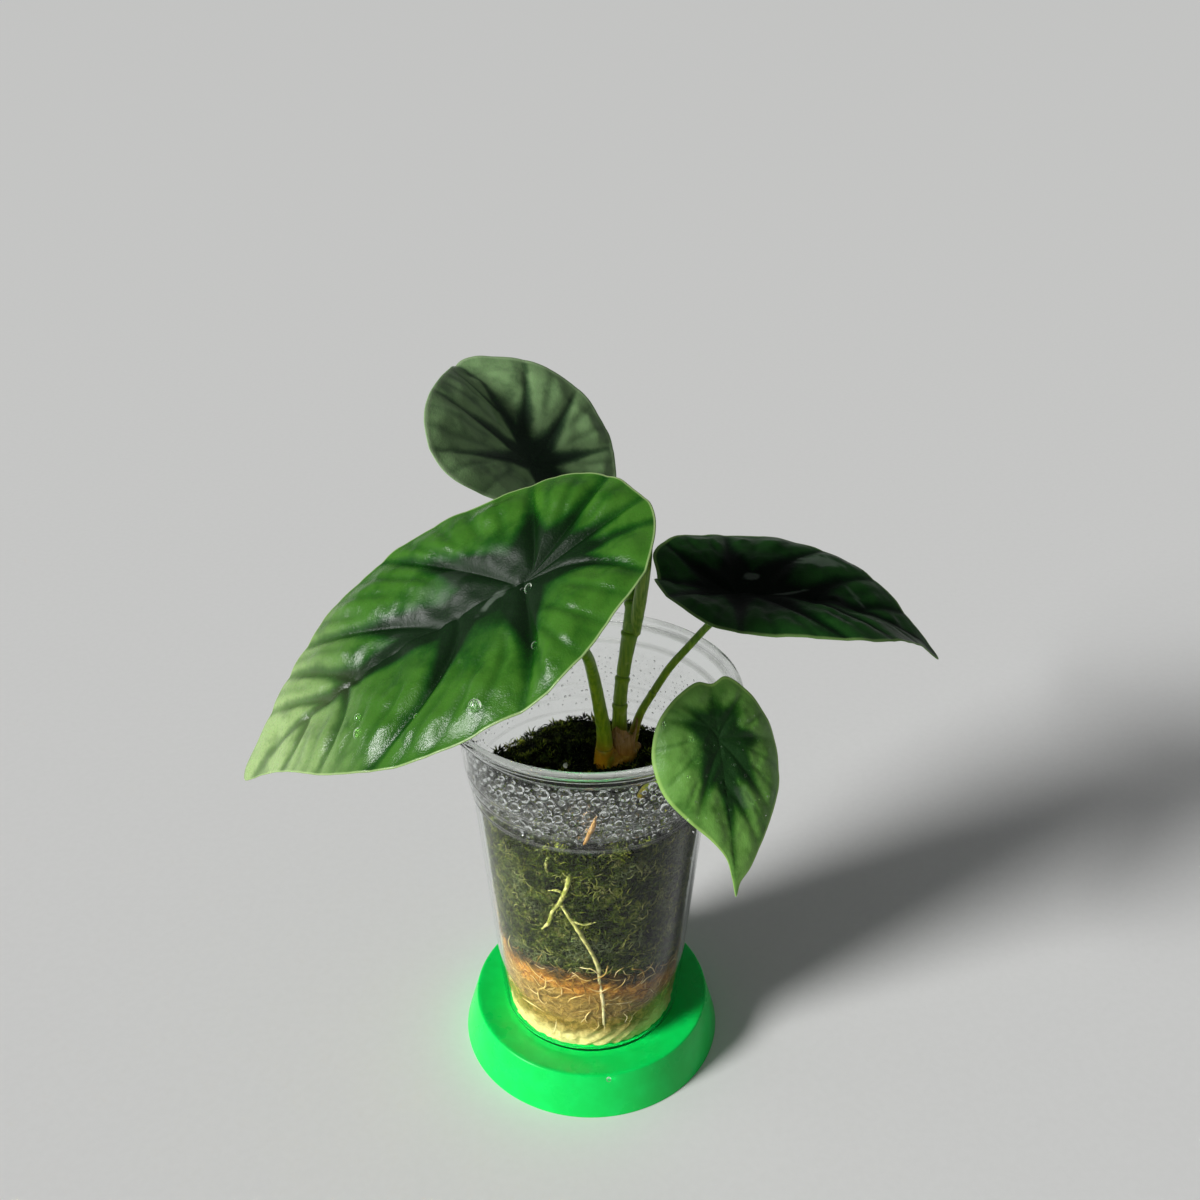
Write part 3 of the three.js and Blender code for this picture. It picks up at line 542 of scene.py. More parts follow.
def stalk_material():
    """Fleshy streaked stalks: ochre at the crown, yellow-green above it and green near the blades."""
    material, recipe = new_material("stalk_flesh")
    height = recipe.height()
    streaks = recipe.span(recipe.noise(0.9, 3, stretch=(1, 1, 0.12)), 0.25, 0.75)
    patchy = recipe.noise(6, 3)
    low = recipe.mix(recipe.span(patchy, 0.3, 0.7), (0.44, 0.20, 0.006), (0.30, 0.27, 0.008))
    middle = recipe.mix(streaks, (0.15, 0.29, 0.006), (0.33, 0.48, 0.020))
    high = recipe.mix(streaks, (0.075, 0.22, 0.009), (0.18, 0.35, 0.026))
    colour = recipe.mix(recipe.span(height, 0.109, 0.120), low, middle)
    colour = recipe.mix(recipe.span(height, 0.128, 0.166), colour, high)
    colour = recipe.mix(recipe.span(recipe.noise(2.2, 2), 0.60, 0.75, 0.0, 0.5), colour, (0.42, 0.50, 0.10))
    scarred = recipe.span(recipe.attribute("scar"), 0.3, 1.0, 0.0, 0.55)
    colour = recipe.mix(scarred, colour, (0.06, 0.11, 0.008))
    relief = recipe.bump(streaks, 0.15, strength=0.7)
    relief = recipe.bump(recipe.noise(1.6, 2), 0.12, relief, strength=0.5)
    recipe.surface(recipe.principled(
        Base_Color=colour, Roughness=0.36, Normal=relief, Specular_IOR_Level=0.3, Subsurface_Weight=0.12,
        Subsurface_Radius=(0.6, 1.0, 0.2), Subsurface_Scale=0.002))
    return material


def new_leaf_material():
    """The rolled new leaf: streaked pale yellow-green, darker green towards its top."""
    material, recipe = new_material("new_leaf_flesh")
    streaks = recipe.noise(0.7, 3, stretch=(1, 1, 0.08))
    colour = recipe.mix(recipe.span(streaks, 0.35, 0.65), (0.115, 0.24, 0.016), (0.27, 0.40, 0.055))
    colour = recipe.mix(recipe.span(recipe.height(), 0.170, 0.187), colour, (0.06, 0.19, 0.015))
    relief = recipe.bump(streaks, 0.15, strength=0.7)
    recipe.surface(recipe.principled(
        Base_Color=colour, Roughness=0.36, Normal=relief, Specular_IOR_Level=0.3, Subsurface_Weight=0.1,
        Subsurface_Radius=(0.6, 1.0, 0.2), Subsurface_Scale=0.002))
    return material


def crown_material():
    """The crown: ochre and orange-brown with pale fibres and dark dirt in patches."""
    material, recipe = new_material("crown_flesh")
    fibres = recipe.noise(0.8, 4, stretch=(1, 1, 0.25))
    patchy = recipe.noise(3.5, 4)
    colour = recipe.mix(recipe.span(patchy, 0.3, 0.7), (0.30, 0.12, 0.006), (0.42, 0.25, 0.02))
    colour = recipe.mix(recipe.span(fibres, 0.5, 0.75, 0.0, 0.5), colour, (0.50, 0.36, 0.08))
    colour = recipe.mix(recipe.span(recipe.noise(2, 3), 0.6, 0.72, 0.0, 0.6), colour, (0.10, 0.035, 0.01))
    relief = recipe.bump(fibres, 0.3, strength=0.7)
    recipe.surface(recipe.principled(
        Base_Color=colour, Roughness=0.45, Normal=relief, Specular_IOR_Level=0.3))
    return material


def dry_sheath_material():
    """Papery tan skin with brown fibres along it, pinkish pale patches, and orange-brown at its foot."""
    material, recipe = new_material("dry_sheath_paper")
    fibres = recipe.noise(0.7, 4, stretch=(1, 1, 0.12))
    patchy = recipe.noise(3, 3)
    colour = recipe.mix(recipe.span(fibres, 0.3, 0.7), (0.22, 0.115, 0.025), (0.44, 0.27, 0.10))
    colour = recipe.mix(recipe.span(patchy, 0.5, 0.7, 0.0, 0.6), colour, (0.50, 0.32, 0.19))
    colour = recipe.mix(recipe.span(recipe.height(), 0.106, 0.114, 0.8, 0.0), colour, (0.36, 0.17, 0.01))
    relief = recipe.bump(fibres, 0.2, strength=0.8)
    recipe.surface(recipe.principled(
        Base_Color=colour, Roughness=0.7, Normal=relief, Specular_IOR_Level=0.25))
    return material


def root_material():
    material, recipe = new_material("root_flesh")
    patchy = recipe.noise(2.5, 4)
    colour = recipe.mix(recipe.span(patchy, 0.35, 0.65), (0.20, 0.23, 0.02), (0.58, 0.54, 0.19))
    colour = recipe.mix(recipe.span(recipe.height(), 0.040, 0.062, 0.8, 0.0), colour, (0.72, 0.62, 0.33))
    relief = recipe.bump(recipe.noise(0.4, 3), 0.12, strength=0.7)
    recipe.surface(recipe.principled(Base_Color=colour, Roughness=0.45, Normal=relief, Subsurface_Weight=0.1,
                                     Subsurface_Radius=(1.0, 0.8, 0.4), Subsurface_Scale=0.001))
    return material


def moss_body_material():
    """The damp body of the moss: near black in some patches, olive and brown in others."""
    material, recipe = new_material("moss_body_damp")
    lumps = recipe.math("ADD", recipe.math("MULTIPLY", recipe.noise(6, 4, distortion=0.6), 0.6),
                        recipe.math("MULTIPLY", recipe.noise(1.4, 3), 0.4))
    colour = recipe.ramp(lumps, [
        (0.36, (0.002, 0.003, 0.001)), (0.46, (0.010, 0.016, 0.002)), (0.54, (0.040, 0.060, 0.006)),
        (0.66, (0.13, 0.125, 0.035)),
    ])
    relief = recipe.bump(recipe.noise(0.9, 4), 0.8, strength=0.9)
    recipe.surface(recipe.principled(
        Base_Color=colour, Roughness=0.7, Normal=relief, Specular_IOR_Level=0.12))
    return material


def moss_sprig_material(name, stops, bloom):
    """Moss sprigs, each with its own shade, in drifts of a centimetre or so, some with a grey bloom."""
    material, recipe = new_material(name)
    tone = recipe.attribute("tone")
    drift = recipe.span(recipe.noise(8, 3), 0.32, 0.68, -0.45, 0.30)
    shade = recipe.math("ADD", tone, drift)
    colour = recipe.ramp(shade, stops)
    colour = recipe.mix(recipe.span(recipe.noise(15, 2), 0.54, 0.66, 0.0, bloom), colour, (0.13, 0.155, 0.07))
    recipe.surface(recipe.principled(Base_Color=colour, Roughness=0.65, Specular_IOR_Level=0.15,
                                     Subsurface_Weight=0.05, Subsurface_Radius=(0.5, 1.0, 0.2),
                                     Subsurface_Scale=0.001))
    return material


def base_moss_material():
    """The dead moss at the bottom: cream at the foot, partly its own pale colour and partly painted light
    that the cup's foot scatters, tan above, orange-brown just under the dark moss.
    """
    material, recipe = new_material("base_moss_damp")
    below_top = recipe.math("MULTIPLY_ADD", recipe.noise(8, 3), 14.0, recipe.attribute("below_top"))
    height = recipe.math("MULTIPLY_ADD", recipe.noise(7, 3), 0.006, recipe.height())
    matted = recipe.noise(2.2, 5, stretch=(1, 1, 1.7), distortion=1.4)
    dark_wet = recipe.mix(recipe.span(matted, 0.35, 0.65), (0.010, 0.010, 0.002), (0.10, 0.050, 0.006))
    wet = recipe.mix(recipe.span(matted, 0.35, 0.65), (0.20, 0.065, 0.004), (0.50, 0.24, 0.03))
    tan = recipe.mix(recipe.span(matted, 0.3, 0.7), (0.13, 0.075, 0.009), (0.34, 0.225, 0.048))
    tan = recipe.mix(recipe.span(recipe.noise(7, 3), 0.56, 0.68, 0.0, 0.65), tan, (0.13, 0.085, 0.014))
    colour = recipe.mix(recipe.span(below_top, 8, 13), dark_wet, wet)
    colour = recipe.mix(recipe.span(below_top, 13, 20), colour, tan)
    # Partly painted light: the cream at the foot is partly the dead moss's pale colour and partly stands in
    # for the light that the cup's foot scatters.
    pale = recipe.mix(recipe.span(matted, 0.3, 0.7), (0.62, 0.50, 0.16), (0.80, 0.70, 0.31))
    colour = recipe.mix(recipe.span(height, 0.020, 0.029), pale, colour)
    relief = recipe.bump(matted, 0.4, strength=0.6)
    recipe.surface(recipe.principled(Base_Color=colour, Roughness=0.6, Normal=relief, Specular_IOR_Level=0.2))
    return material


def grain_material():
    material, recipe = new_material("white_grain_mineral")
    colour = recipe.mix(recipe.span(recipe.noise(0.6, 2), 0.35, 0.65), (0.52, 0.52, 0.46), (0.84, 0.84, 0.80))
    recipe.surface(recipe.principled(Base_Color=colour, Roughness=0.8, Specular_IOR_Level=0.2))
    return material


def let_lamps_through(recipe, shader, share):
    """Thin clear things cast only a faint shadow."""
    shadow = recipe.math("MULTIPLY", recipe.add("ShaderNodeLightPath").outputs["Is Shadow Ray"], share)
    clear = recipe.add("ShaderNodeBsdfTransparent").outputs[0]
    return recipe.add("ShaderNodeMixShader", {0: shadow, 1: shader, 2: clear}).outputs[0]


def cup_material():
    """Clear plastic with a fog of condensation above the moss, and white rings painted on its ribs, ledge,
    lip and rim as highlights.
    """
    material, recipe = new_material("cup_clear_plastic")
    height = recipe.height()
    mist = recipe.span(recipe.noise(2.2, 4), 0.35, 0.75)
    above_moss = recipe.math("MULTIPLY", recipe.span(height, 0.104, 0.114),
                             recipe.span(height, 0.128, 0.134, 1.0, 0.0))
    fog_and_ring_glints = recipe.math("MULTIPLY", above_moss, recipe.math("MULTIPLY_ADD", mist, 0.06, 0.01))
    # Painted highlights: white rings at the stacking ribs, the ledge, the lip and the rim stand in for their
    # glints, broken into patches by noise.
    glint_patches = recipe.span(recipe.noise(9, 3), 0.3, 0.7, 0.5, 1.0)
    painted_ring_glints = [(rib, 0.6, 0.15) for rib in STACKING_RIBS_Z]
    painted_ring_glints += [(CUP_LEDGE_Z + 0.5, 0.7, 0.28), (CUP_LIP_Z, 0.8, 0.36), (CUP_RIM_Z - 0.3, 1.2, 0.34)]
    for ring_mm, half_mm, share in painted_ring_glints:
        away = recipe.math("ABSOLUTE", recipe.math("SUBTRACT", height, ring_mm * MM))
        ring = recipe.span(away, 0.2 * half_mm * MM, half_mm * MM, share, 0.0)
        fog_and_ring_glints = recipe.math("MAXIMUM", fog_and_ring_glints, recipe.math("MULTIPLY", ring, glint_patches))
    scuffs = recipe.span(recipe.noise(1.4, 3, stretch=(1, 1, 0.2)), 0.4, 0.8, 0.01, 0.05)
    clear = recipe.principled(
        Base_Color=(0.98, 1.0, 0.99), Transmission_Weight=1.0, Roughness=scuffs, IOR=1.17)
    white = recipe.principled(Base_Color=(0.84, 0.84, 0.80), Roughness=0.4)
    shader = recipe.add("ShaderNodeMixShader", {0: fog_and_ring_glints, 1: clear, 2: white}).outputs[0]
    recipe.surface(let_lamps_through(recipe, shader, 0.88))
    return material


def water_material(name, ring):
    """Clear water; ring is how strongly a pale edge is painted round a drop as a highlight."""
    material, recipe = new_material(name)
    clear = recipe.principled(Base_Color=(1.0, 1.0, 1.0), Transmission_Weight=1.0, Roughness=0.0, IOR=1.33)
    # Painted highlight: a pale diffuse edge round each drop stands in for the bright rim of real drops.
    pale = recipe.principled(Base_Color=(0.80, 0.88, 0.74), Roughness=0.2)
    edge = recipe.add("ShaderNodeLayerWeight", {"Blend": 0.4}).outputs["Facing"]
    painted_edge_glint = recipe.span(edge, 0.3, 0.9, 0.0, ring)
    shader = recipe.add("ShaderNodeMixShader", {0: painted_edge_glint, 1: clear, 2: pale}).outputs[0]
    recipe.surface(let_lamps_through(recipe, shader, 0.85))
    return material


def saucer_material():
    """Bright green moulded plastic with a fine moulded grain and a little dust."""
    material, recipe = new_material("saucer_green_plastic")
    dust = recipe.noise(6, 4)
    handled = recipe.noise(14, 4)
    colour = recipe.mix(recipe.span(dust, 0.35, 0.75), (0.001, 0.70, 0.095), (0.003, 0.77, 0.12))
    shine = recipe.span(handled, 0.3, 0.7, 0.24, 0.36)
    relief = recipe.bump(recipe.noise(0.6, 2), 0.015, strength=0.4)
    recipe.surface(recipe.principled(
        Base_Color=colour, Roughness=shine, Normal=relief, Specular_IOR_Level=0.25, Subsurface_Weight=0.08,
        Subsurface_Radius=(0.2, 1.0, 0.3), Subsurface_Scale=0.002))
    return material


def floor_material():
    material, recipe = new_material("floor_pale")
    shade = recipe.span(recipe.noise(3, 2), 0.3, 0.7, 0.0, 1.0)
    colour = recipe.mix(shade, (0.770, 0.770, 0.755), (0.782, 0.782, 0.768))
    recipe.surface(recipe.principled(Base_Color=colour, Roughness=0.85, Specular_IOR_Level=0.2))
    return material


# Blades

def vein_courses(veins):
    """Each vein as flat points, curving forward to the margin."""
    share = np.linspace(0, 1.06, 14)
    courses = []
    for start, end, out, bend in veins:
        courses.append(np.stack([start + (end - start) * share ** bend, out * share], -1))
    return courses


def minor_courses(veins):
    """Shorter veins between neighbours, which reach the margin and fade out half way in."""
    courses = []
    for (start_a, end_a, out_a, bend_a), (start_b, end_b, out_b, bend_b) in zip(veins, veins[1:]):
        apart = math.hypot(end_b - end_a, out_b - out_a)
        count = max(1, round(apart / 13))
        for i in range(count):
            t = (i + 1) / (count + 1)
            start = start_a + (start_b - start_a) * t
            end = end_a + (end_b - end_a) * t
            out = out_a + (out_b - out_a) * t
            first = 0.34 + 0.12 * ((i * 7 + len(courses) * 3) % 3)
            bend = bend_a + (bend_b - bend_a) * t
            share = np.linspace(first, 1.2, 9)
            courses.append(np.stack([start + (end - start) * share ** bend, out * share], -1))
    return courses


def distance_to(courses, s, v):
    """Distance to the nearest course, and how far along it that is."""
    nearest = np.full(len(s), np.inf)
    along = np.zeros(len(s))
    for course in courses:
        for i, (start, end) in enumerate(zip(course, course[1:])):
            run = end - start
            share = np.clip(((s - start[0]) * run[0] + (v - start[1]) * run[1]) / (run @ run), 0, 1)
            away = np.hypot(s - start[0] - share * run[0], v - start[1] - share * run[1])
            closer = away < nearest
            nearest[closer] = away[closer]
            along[closer] = (i + share[closer]) / (len(course) - 1)
    return nearest, along


def blade_axes(blade):
    """The blade's own directions: along the midrib, to its left, and out of its upper face."""
    heading, rise, roll = (math.radians(blade[name]) for name in ("heading", "rise", "roll"))
    along = np.array([math.cos(rise) * math.cos(heading), math.cos(rise) * math.sin(heading), math.sin(rise)])
    flat_left = np.array([-math.sin(heading), math.cos(heading), 0])
    up = np.cross(along, flat_left)
    left = flat_left * math.cos(roll) + up * math.sin(roll)
    out = up * math.cos(roll) - flat_left * math.sin(roll)
    return along, left, out


def midrib_at(blade, s):
    """Where the bent midrib is at each s: how far along, how far down, and its slope."""
    ahead = s >= 0
    reach = np.where(ahead, blade["length"], blade["back_length"])
    bend = np.radians(np.where(ahead, blade["droop"], blade["back_droop"]))
    power = np.where(ahead, blade["droop_power"], 1.0)
    share = np.minimum(np.abs(s) / reach, 1)
    steps = 24
    forward, down = np.zeros(len(s)), np.zeros(len(s))
    for i in range(steps):
        slope = bend * (share * (i + 0.5) / steps) ** power
        forward += np.cos(slope)
        down += np.sin(slope)
    side = np.where(ahead, 1, -1)
    return side * forward * np.abs(s) / steps, -down * np.abs(s) / steps, side * bend * share ** power


def on_blade(blade, s, v, height):
    """Points at s, v of the bent blade, each at its height over the blade's middle."""
    along, left, out = blade_axes(blade)
    x, down, slope = midrib_at(blade, s)
    return (np.array(blade["stalk"]) + np.outer(x + height * np.sin(slope), along)
            + np.outer(down + height * np.cos(slope), out) + np.outer(v, left))


def blade_relief(blade, s, v, outwards):
    """Height of the upper face over the flat blade, and the distances that its colours follow."""
    veins = vein_courses(blade["left_veins"]) + vein_courses(blade["right_veins"])
    from_vein, _ = distance_to(veins, s, v)
    minor = minor_courses(blade["left_veins"]) + minor_courses(blade["right_veins"])
    from_minor, along_minor = distance_to(minor, s, v)
    width = blade["half_width"]
    swell = np.sin(np.minimum(from_vein / (QUILT_REACH * width), 1) * math.pi / 2)
    from_midrib = smooth_step(np.abs(v), 0, 0.45 * width)
    crease = 1 - np.exp(-(from_vein / (blade["crease"] * (0.5 + 0.6 * from_midrib))) ** 1.3)
    calmer_margin = 1 - 0.74 * smooth_step(outwards, 0.78, 1)
    minor_share = np.exp(-(from_minor / (0.034 * width)) ** 2) * smooth_step(along_minor, 0.0, 0.35)
    minor_share *= smooth_step(from_vein, 0, 0.05 * width)
    flat = np.stack([s, v], -1)
    height = blade["quilt"] * (0.24 * swell + 0.76 * crease) * (0.35 + 0.65 * from_midrib)
    midrib_trough = 0.12 * blade["quilt"] * np.exp(-np.abs(v) / (0.5 * blade["crease"]))
    height -= blade["minor"] * minor_share + midrib_trough
    uneven = undulation(flat, 0.40 * width, 11) * 0.010 + undulation(flat, 0.17 * width, 12) * 0.004
    height += uneven * width * smooth_step(from_vein, 0, 0.15 * width)
    height = height * calmer_margin
    height += 0.007 * width * undulation(flat, 0.6 * width, 13) * smooth_step(outwards, 0.75, 1)
    soft = FOLD_SOFTNESS * width
    dished = blade["fold"] * (np.sqrt(v * v + soft * soft) - soft) - blade["arch"] * v * v / width
    return dished + height, np.minimum(from_vein, np.abs(v)), minor_share


def blade_piece(name, under, rings, per_span):
    """A blade as one thin closed skin in rings round its stalk, with a rounded margin."""
    blade = BLADES[name]
    margin = smooth_curve(blade["outline"], per_span, closed=True)
    rays = len(margin)
    shares = np.concatenate([[0.004], np.linspace(0, 1, rings + 1)[1:]])
    s = np.outer(shares, margin[:, 0]).ravel()
    v = np.outer(shares, margin[:, 1]).ravel()
    outwards = np.repeat(shares, rays)
    margin_mm = (1 - outwards) * np.tile(np.hypot(margin[:, 0], margin[:, 1]), len(shares)) * 0.85
    lift, from_vein, minor_share = blade_relief(blade, s, v, outwards)
    thickness = BLADE_THICKNESS * (1 - 0.45 * smooth_step(outwards, 0.9, 1))
    raised_vein = 0.35 * np.exp(-(from_vein / 0.9) ** 2) * (1 - outwards)
    top = on_blade(blade, s, v, lift + thickness / 2)
    bottom = on_blade(blade, s, v, lift - (thickness / 2 + raised_vein))
    last = slice(-rays, None)
    outside = top[last] + bottom[last] - top[-2 * rays:-rays] - bottom[-2 * rays:-rays]
    outside /= np.linalg.norm(outside, axis=1)[:, None]
    rim = (top[last] + bottom[last]) / 2 + outside * 0.22
    size = len(top)
    points = np.vstack([top, rim, bottom])
    faces = grid_faces(len(shares), rays)
    rim_start, bottom_start = size, size + rays
    for k in range(rays):
        beside = (k + 1) % rays
        a, b = size - rays + k, size - rays + beside
        faces.append((a, b, rim_start + beside, rim_start + k))
        faces.append((rim_start + k, rim_start + beside, bottom_start + b, bottom_start + a))
    faces.append(tuple(range(rays))[::-1])
    lower_start = len(faces)
    faces += [tuple(bottom_start + i for i in reversed(face)) for face in grid_faces(len(shares), rays)]
    faces.append(tuple(bottom_start + k for k in range(rays)))
    piece = add_mesh(name + "_skin", points, faces)
    point_outwards(piece)

    marks = np.zeros(size)
    for centre_s, centre_v, half_length, half_width, turn, strength in WATER_MARKS[name]:
        ahead = (s - centre_s) * math.cos(turn) + (v - centre_v) * math.sin(turn)
        aside = (v - centre_v) * math.cos(turn) - (s - centre_s) * math.sin(turn)
        ragged = 1 + 0.18 * undulation(np.stack([s, v], -1), 4, 21)
        within = smooth_step(-np.hypot(ahead / half_length, aside / half_width) * ragged, -1.25, -0.75)
        marks = np.maximum(marks, strength * within)
    tipwards = np.clip(s / max(point[0] for point in blade["outline"]), 0, 1)
    for attribute, values, at_rim in (
            ("vein_mm", from_vein, from_vein[last]), ("minor_vein", minor_share, minor_share[last]),
            ("outwards", outwards, np.ones(rays)), ("margin_mm", margin_mm, np.zeros(rays)),
            ("tipwards", tipwards, tipwards[last]), ("water_mark", marks, np.zeros(rays))):
        add_attribute(piece, attribute, np.concatenate([values, at_rim, values]))
    sides = np.zeros(len(faces), np.int32)
    sides[lower_start:] = 1
    piece.data.polygons.foreach_set("material_index", sides)
    add_flat_map(piece, np.concatenate([s, s[last], s]), np.concatenate([v, v[last], v]))
    upper = leaf_upper(name, **LEAF_LOOKS[name])
    finish_piece(piece, [name], [upper, under])


def add_flat_map(piece, s, v):
    """A UV map that lays the blade flat, with its longest side across the map."""
    flat = piece.data.uv_layers.new(name="flat")
    corners = np.zeros(len(piece.data.loops), np.int32)
    piece.data.loops.foreach_get("vertex_index", corners)
    size = max(np.ptp(s), np.ptp(v))
    across, up = (s - s.min()) / size, (v - v.min()) / size
    flat.data.foreach_set("uv", np.stack([across[corners], up[corners]], -1).astype(np.float32).ravel())


# Pieces that follow a path

def new_tree(name, inputs, output):
    """A geometry node tree with named inputs, as its recipe and the inputs that it is given."""
    tree = bpy.data.node_groups.new(name, "GeometryNodeTree")
    for label, kind in inputs:
        tree.interface.new_socket(label, in_out="INPUT", socket_type="NodeSocket" + kind)
    tree.interface.new_socket(output, in_out="OUTPUT", socket_type="NodeSocketGeometry")
    recipe = Recipe(tree)
    return recipe, recipe.add("NodeGroupInput").outputs


def end_tree(recipe, geometry, finish):
    """Makes a tree's geometry real, gives it its material and sends it out."""
    real = recipe.add("GeometryNodeRealizeInstances", {0: geometry}).outputs[0]
    dressed = recipe.add("GeometryNodeSetMaterial", {"Geometry": real, "Material": finish}).outputs[0]
    recipe.add("NodeGroupOutput", {0: dressed})
    return recipe.tree


def path_tree():
    """Draws a fleshy tube along a line of points, each with its thickness."""
    recipe, given = new_tree("Fleshy path", [
        ("Line", "Geometry"), ("Sides", "Int"), ("Lump height", "Float"), ("Lump size", "Float"),
        ("Finish", "Material")], "Tube")
    curve = recipe.add("GeometryNodeMeshToCurve", {0: given["Line"]}).outputs[0]
    thickness = recipe.stored("thickness")
    circle = recipe.add("GeometryNodeCurvePrimitiveCircle", {
        "Resolution": given["Sides"], "Radius": 1.0}).outputs[0]
    tube = recipe.add("GeometryNodeCurveToMesh", {
        "Curve": curve, "Profile Curve": circle, "Scale": thickness, "Fill Caps": True}).outputs[0]
    grain = recipe.math("DIVIDE", 1.0, given["Lump size"])
    lumps = recipe.add("ShaderNodeTexNoise", {"Scale": grain, "Detail": 2.0}).outputs[0]
    height = recipe.math("MULTIPLY", recipe.math("SUBTRACT", lumps, 0.5), given["Lump height"])
    normal = recipe.add("GeometryNodeInputNormal").outputs[0]
    offset = recipe.add("ShaderNodeVectorMath", {0: normal, "Scale": height}, operation="SCALE").outputs[0]
    tube = recipe.add("GeometryNodeSetPosition", {"Geometry": tube, "Offset": offset}).outputs[0]
    tube = recipe.add("GeometryNodeSetShadeSmooth", {0: tube}).outputs[0]
    return end_tree(recipe, tube, given["Finish"])


def plain_result(host, tree, values, name):
    """Runs a geometry node tree on a host and keeps its result as a plain mesh; the host goes."""
    modifier = host.modifiers.new("grow", "NODES")
    modifier.node_group = tree
    identifiers = {item.name: item.identifier for item in tree.interface.items_tree if item.in_out == "INPUT"}
    for key, value in values.items():
        modifier[identifiers[key]] = value
    evaluated = host.evaluated_get(bpy.context.evaluated_depsgraph_get())
    mesh = bpy.data.meshes.new_from_object(evaluated)
    bpy.data.objects.remove(host)
    mesh.name = name
    piece = bpy.data.objects.new(name, mesh)
    bpy.context.scene.collection.objects.link(piece)
    return piece


def along_paths(name, paths, tree, sides, lump_height, lump_size, finish, per_span):
    """One mesh of tubes along [x, y, z, radius] paths."""
    points, edges = [], []
    for path in paths:
        start = len(points)
        points.extend(smooth_curve(path, per_span))
        edges.extend((i, i + 1) for i in range(start, len(points) - 1))
    points = np.array(points)
    mesh = bpy.data.meshes.new(name + "_line")
    mesh.from_pydata(in_place(points[:, :3]), edges, [])
    host = bpy.data.objects.new(name + "_line", mesh)
    bpy.context.scene.collection.objects.link(host)
    add_attribute(host, "thickness", points[:, 3] * MM)
    if points.shape[1] > 4:
        add_attribute(host, "scar", points[:, 4])
    values = {"Sides": sides, "Lump height": lump_height * MM, "Lump size": lump_size * MM, "Finish": finish}
    return plain_result(host, tree, values, name)


def reach_blade(stations, blade):
    """A stem with its last stations, which bring it up square to the underside of its blade."""
    _, _, out = blade_axes(blade)
    radius = stations[-1][3]
    stalk = np.array(blade["stalk"])
    return [*stations, [*(stalk - out * STALK_SQUARE), radius], [*(stalk - out * 0.3), radius * 1.25]]


def creased(path, heights, depth, per_span):
    """A path drawn finely as [x, y, z, radius, scar], pinched and scarred at each crease height."""
    fine = smooth_curve(path, per_span)
    scar = np.zeros(len(fine))
    for height in heights:
        pinch = np.exp(-((fine[:, 2] - height) / 0.4) ** 2)
        fine[:, 3] -= depth * pinch
        fine[:, 3] += depth * np.exp(-((fine[:, 2] - height + 1.0) / 0.8) ** 2)
        scar = np.maximum(scar, pinch)
    return np.column_stack([fine, scar])


# Pieces that repeat over a surface

def scatter_tree():
    """Sets small pieces over a surface at random, each with its own turn, size and tone."""
    recipe, given = new_tree("Scatter", [
        ("Surface", "Geometry"), ("Sprigs", "Collection"), ("Spacing", "Float"), ("Density", "Float"),
        ("Smallest", "Float"), ("Largest", "Float"), ("Lean", "Float"), ("Seed", "Int"),
        ("Finish", "Material")], "Cover")
    spread = recipe.add("GeometryNodeDistributePointsOnFaces", {
        "Mesh": given["Surface"], "Distance Min": given["Spacing"], "Density Max": given["Density"],
        "Density Factor": recipe.stored("cover"), "Seed": given["Seed"]}, distribute_method="POISSON")
    sprigs = recipe.add("GeometryNodeCollectionInfo", {
        "Collection": given["Sprigs"], "Separate Children": True, "Reset Children": True}).outputs[0]

    def random(low, high, shift, kind="FLOAT"):
        node = recipe.add("FunctionNodeRandomValue", data_type=kind)
        sockets = [socket for socket in node.inputs if socket.enabled]
        for socket, value in zip(sockets, (low, high)):
            if isinstance(value, bpy.types.NodeSocket):
                recipe.tree.links.new(value, socket)
            else:
                socket.default_value = value
        recipe.tree.links.new(recipe.math("ADD", given["Seed"], shift), node.inputs["Seed"])
        return next(socket for socket in node.outputs if socket.enabled)

    size = recipe.math("POWER", random(0.0, 1.0, 1), 1.6)
    size = recipe.math("MULTIPLY_ADD", size, recipe.math("SUBTRACT", given["Largest"], given["Smallest"]),
                       given["Smallest"])
    placed = recipe.add("GeometryNodeInstanceOnPoints", {
        "Points": spread.outputs["Points"], "Instance": sprigs, "Pick Instance": True,
        "Instance Index": random(0, 1000, 2, "INT"), "Rotation": spread.outputs["Rotation"],
        "Scale": size}).outputs[0]
    lean_a = random(recipe.math("MULTIPLY", given["Lean"], -1.0), given["Lean"], 3)
    lean_b = random(recipe.math("MULTIPLY", given["Lean"], -1.0), given["Lean"], 4)
    spin = random(0.0, 2 * math.pi, 5)
    turn = recipe.add("ShaderNodeCombineXYZ", {0: lean_a, 1: lean_b, 2: spin}).outputs[0]
    placed = recipe.add("GeometryNodeRotateInstances", {"Instances": placed, "Rotation": turn}).outputs[0]
    toned = {"Geometry": placed, "Name": "tone", "Value": random(0.0, 1.0, 6)}
    placed = recipe.add(
        "GeometryNodeStoreNamedAttribute", toned, data_type="FLOAT", domain="INSTANCE").outputs[0]
    return end_tree(recipe, placed, given["Finish"])


def strand(length_bend, width, seed, stations=6):
    """A thin strand one unit long, lying in the plane, with pointed ends and a soft curve."""
    random = np.random.default_rng(seed)
    points = []
    for i in range(stations):
        t = i / (stations - 1)
        x = t - 0.5
        y = length_bend * math.sin(math.pi * t + random.uniform(-0.3, 0.3))
        z = 0.015 + 0.03 * math.sin(math.pi * t) + random.uniform(0, 0.015)
        half = width * (0.25 + 0.75 * math.sin(math.pi * (0.12 + 0.76 * t)))
        points += [(x, y - half, z), (x, y, z + 0.8 * half), (x, y + half, z), (x, y, z - 0.4 * half)]
    return points, grid_faces(stations, 4) + end_faces(stations, 4)


